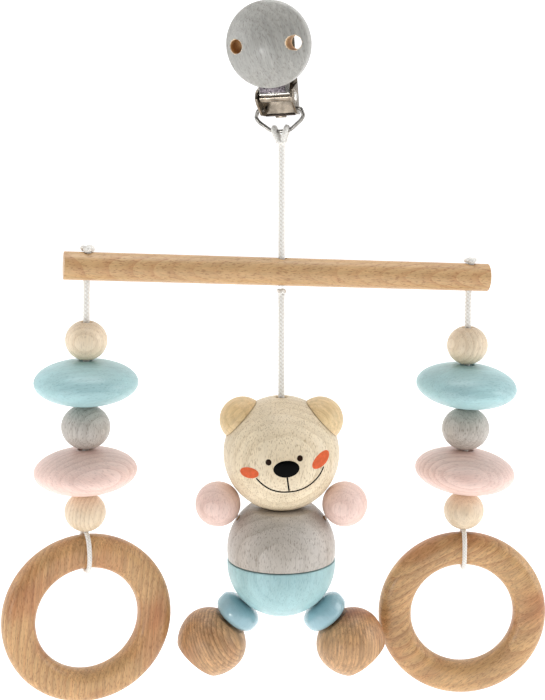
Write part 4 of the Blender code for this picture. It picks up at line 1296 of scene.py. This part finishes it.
screw = {
    "heights": {"cover_screw_lower": -15.3, "cover_screw_upper": -6.3}, "depth": -4.2,
    "head": [
        (0, -0.7), (0.8, -0.66), (1.3, -0.5), (1.62, -0.25), (1.7, -0.05), (1.66, 0), (0.65, 0),
    ],
    "tip": [(0, 5.5), (0.2, 5.3)], "threads": 9, "pitch": 0.5, "crest": 0.65, "root": 0.5,
    "slot": (1.1, 0.22), "slotDepth": (-1.2, -0.42),
}


def buildScrews():
    pitch, (far, deep) = screw["pitch"], screw["slotDepth"]
    thread = []
    for i in range(screw["threads"]):
        thread += [(screw["crest"], 0.5 + i * pitch), (screw["root"], 0.7 + i * pitch)]
    for node, z in screw["heights"].items():
        bm = spinProfile(screw["tip"] + thread[::-1] + screw["head"][::-1], 32)
        slots = []
        for x, y in (screw["slot"], screw["slot"][::-1]):
            slots.append((slab((-x, -y, far), (x, y, deep), 0.03), None))
        bm, _ = cutAway(bm, slots)
        bm = inClip(bm, (0, screw["depth"], z), forward)
        name = node.title().replace("_", "")
        addPiece(name, bm, "clip_front", nickel, (node,), 30)


# the right half of the wire, from its end inside the cheek down to its middle
bailHalf = [
    (6.5, 0), (8.5, 0), (9.5, -0.4), (10.0, -1.7), (10.3, -3.2), (9.1, -5.0), (7.1, -6.6),
    (5.0, -8.2), (3.4, -9.0), (1.2, -9.2),
]


def buildBail():
    points = [(-x, z) for x, z in bailHalf] + bailHalf[::-1]
    route = smoothRoute([clipSpot(x, 0, clip["bail"][2] + z) for x, z in points], 0.25)
    bm = healMesh(roundTube(route, clip["bailWire"], 6))
    addPiece("bailWire", bm, "bail", nickelWire, ("wire_bail",), 50)


# painted shade: a dark nickel for the plate's turned-in bottom edge
edgeShadeNickel, _ = noisyFinish("edgeShadeNickel", srgb(84, 74, 68), 0.3, (500, 1600), (0.5, 1.3), 0.4)
padPlastic, shader = noisyFinish(
    "padPlastic", srgb(236, 236, 230), 0.3, (600, 2000), (0.95, 1.02), 0.1, 0
)
for name, value in (("Transmission Weight", 0.55), ("IOR", 1.45)):
    shader.inputs[name].default_value = value
stippledNickel, _ = noisyFinish(
    "stippledNickel", srgb(128, 121, 126), 0.36, (1300, 1300), (0.0, 1.7), 1
)
coverWood = woodFinish(
    "coverWood", "greyCover", (0, 0, -10.8), (-0.3, 0, 1), (70, 70, 0), 2.4, 1.1
)
rimWood = woodFinish("rimWood", "paleMaple", (0, 0, 0), ringGap=1.3)
buildPlate()
buildPad()
buildPin()
buildLever()
buildCover()
buildScrews()
buildBail()
print("clip built")
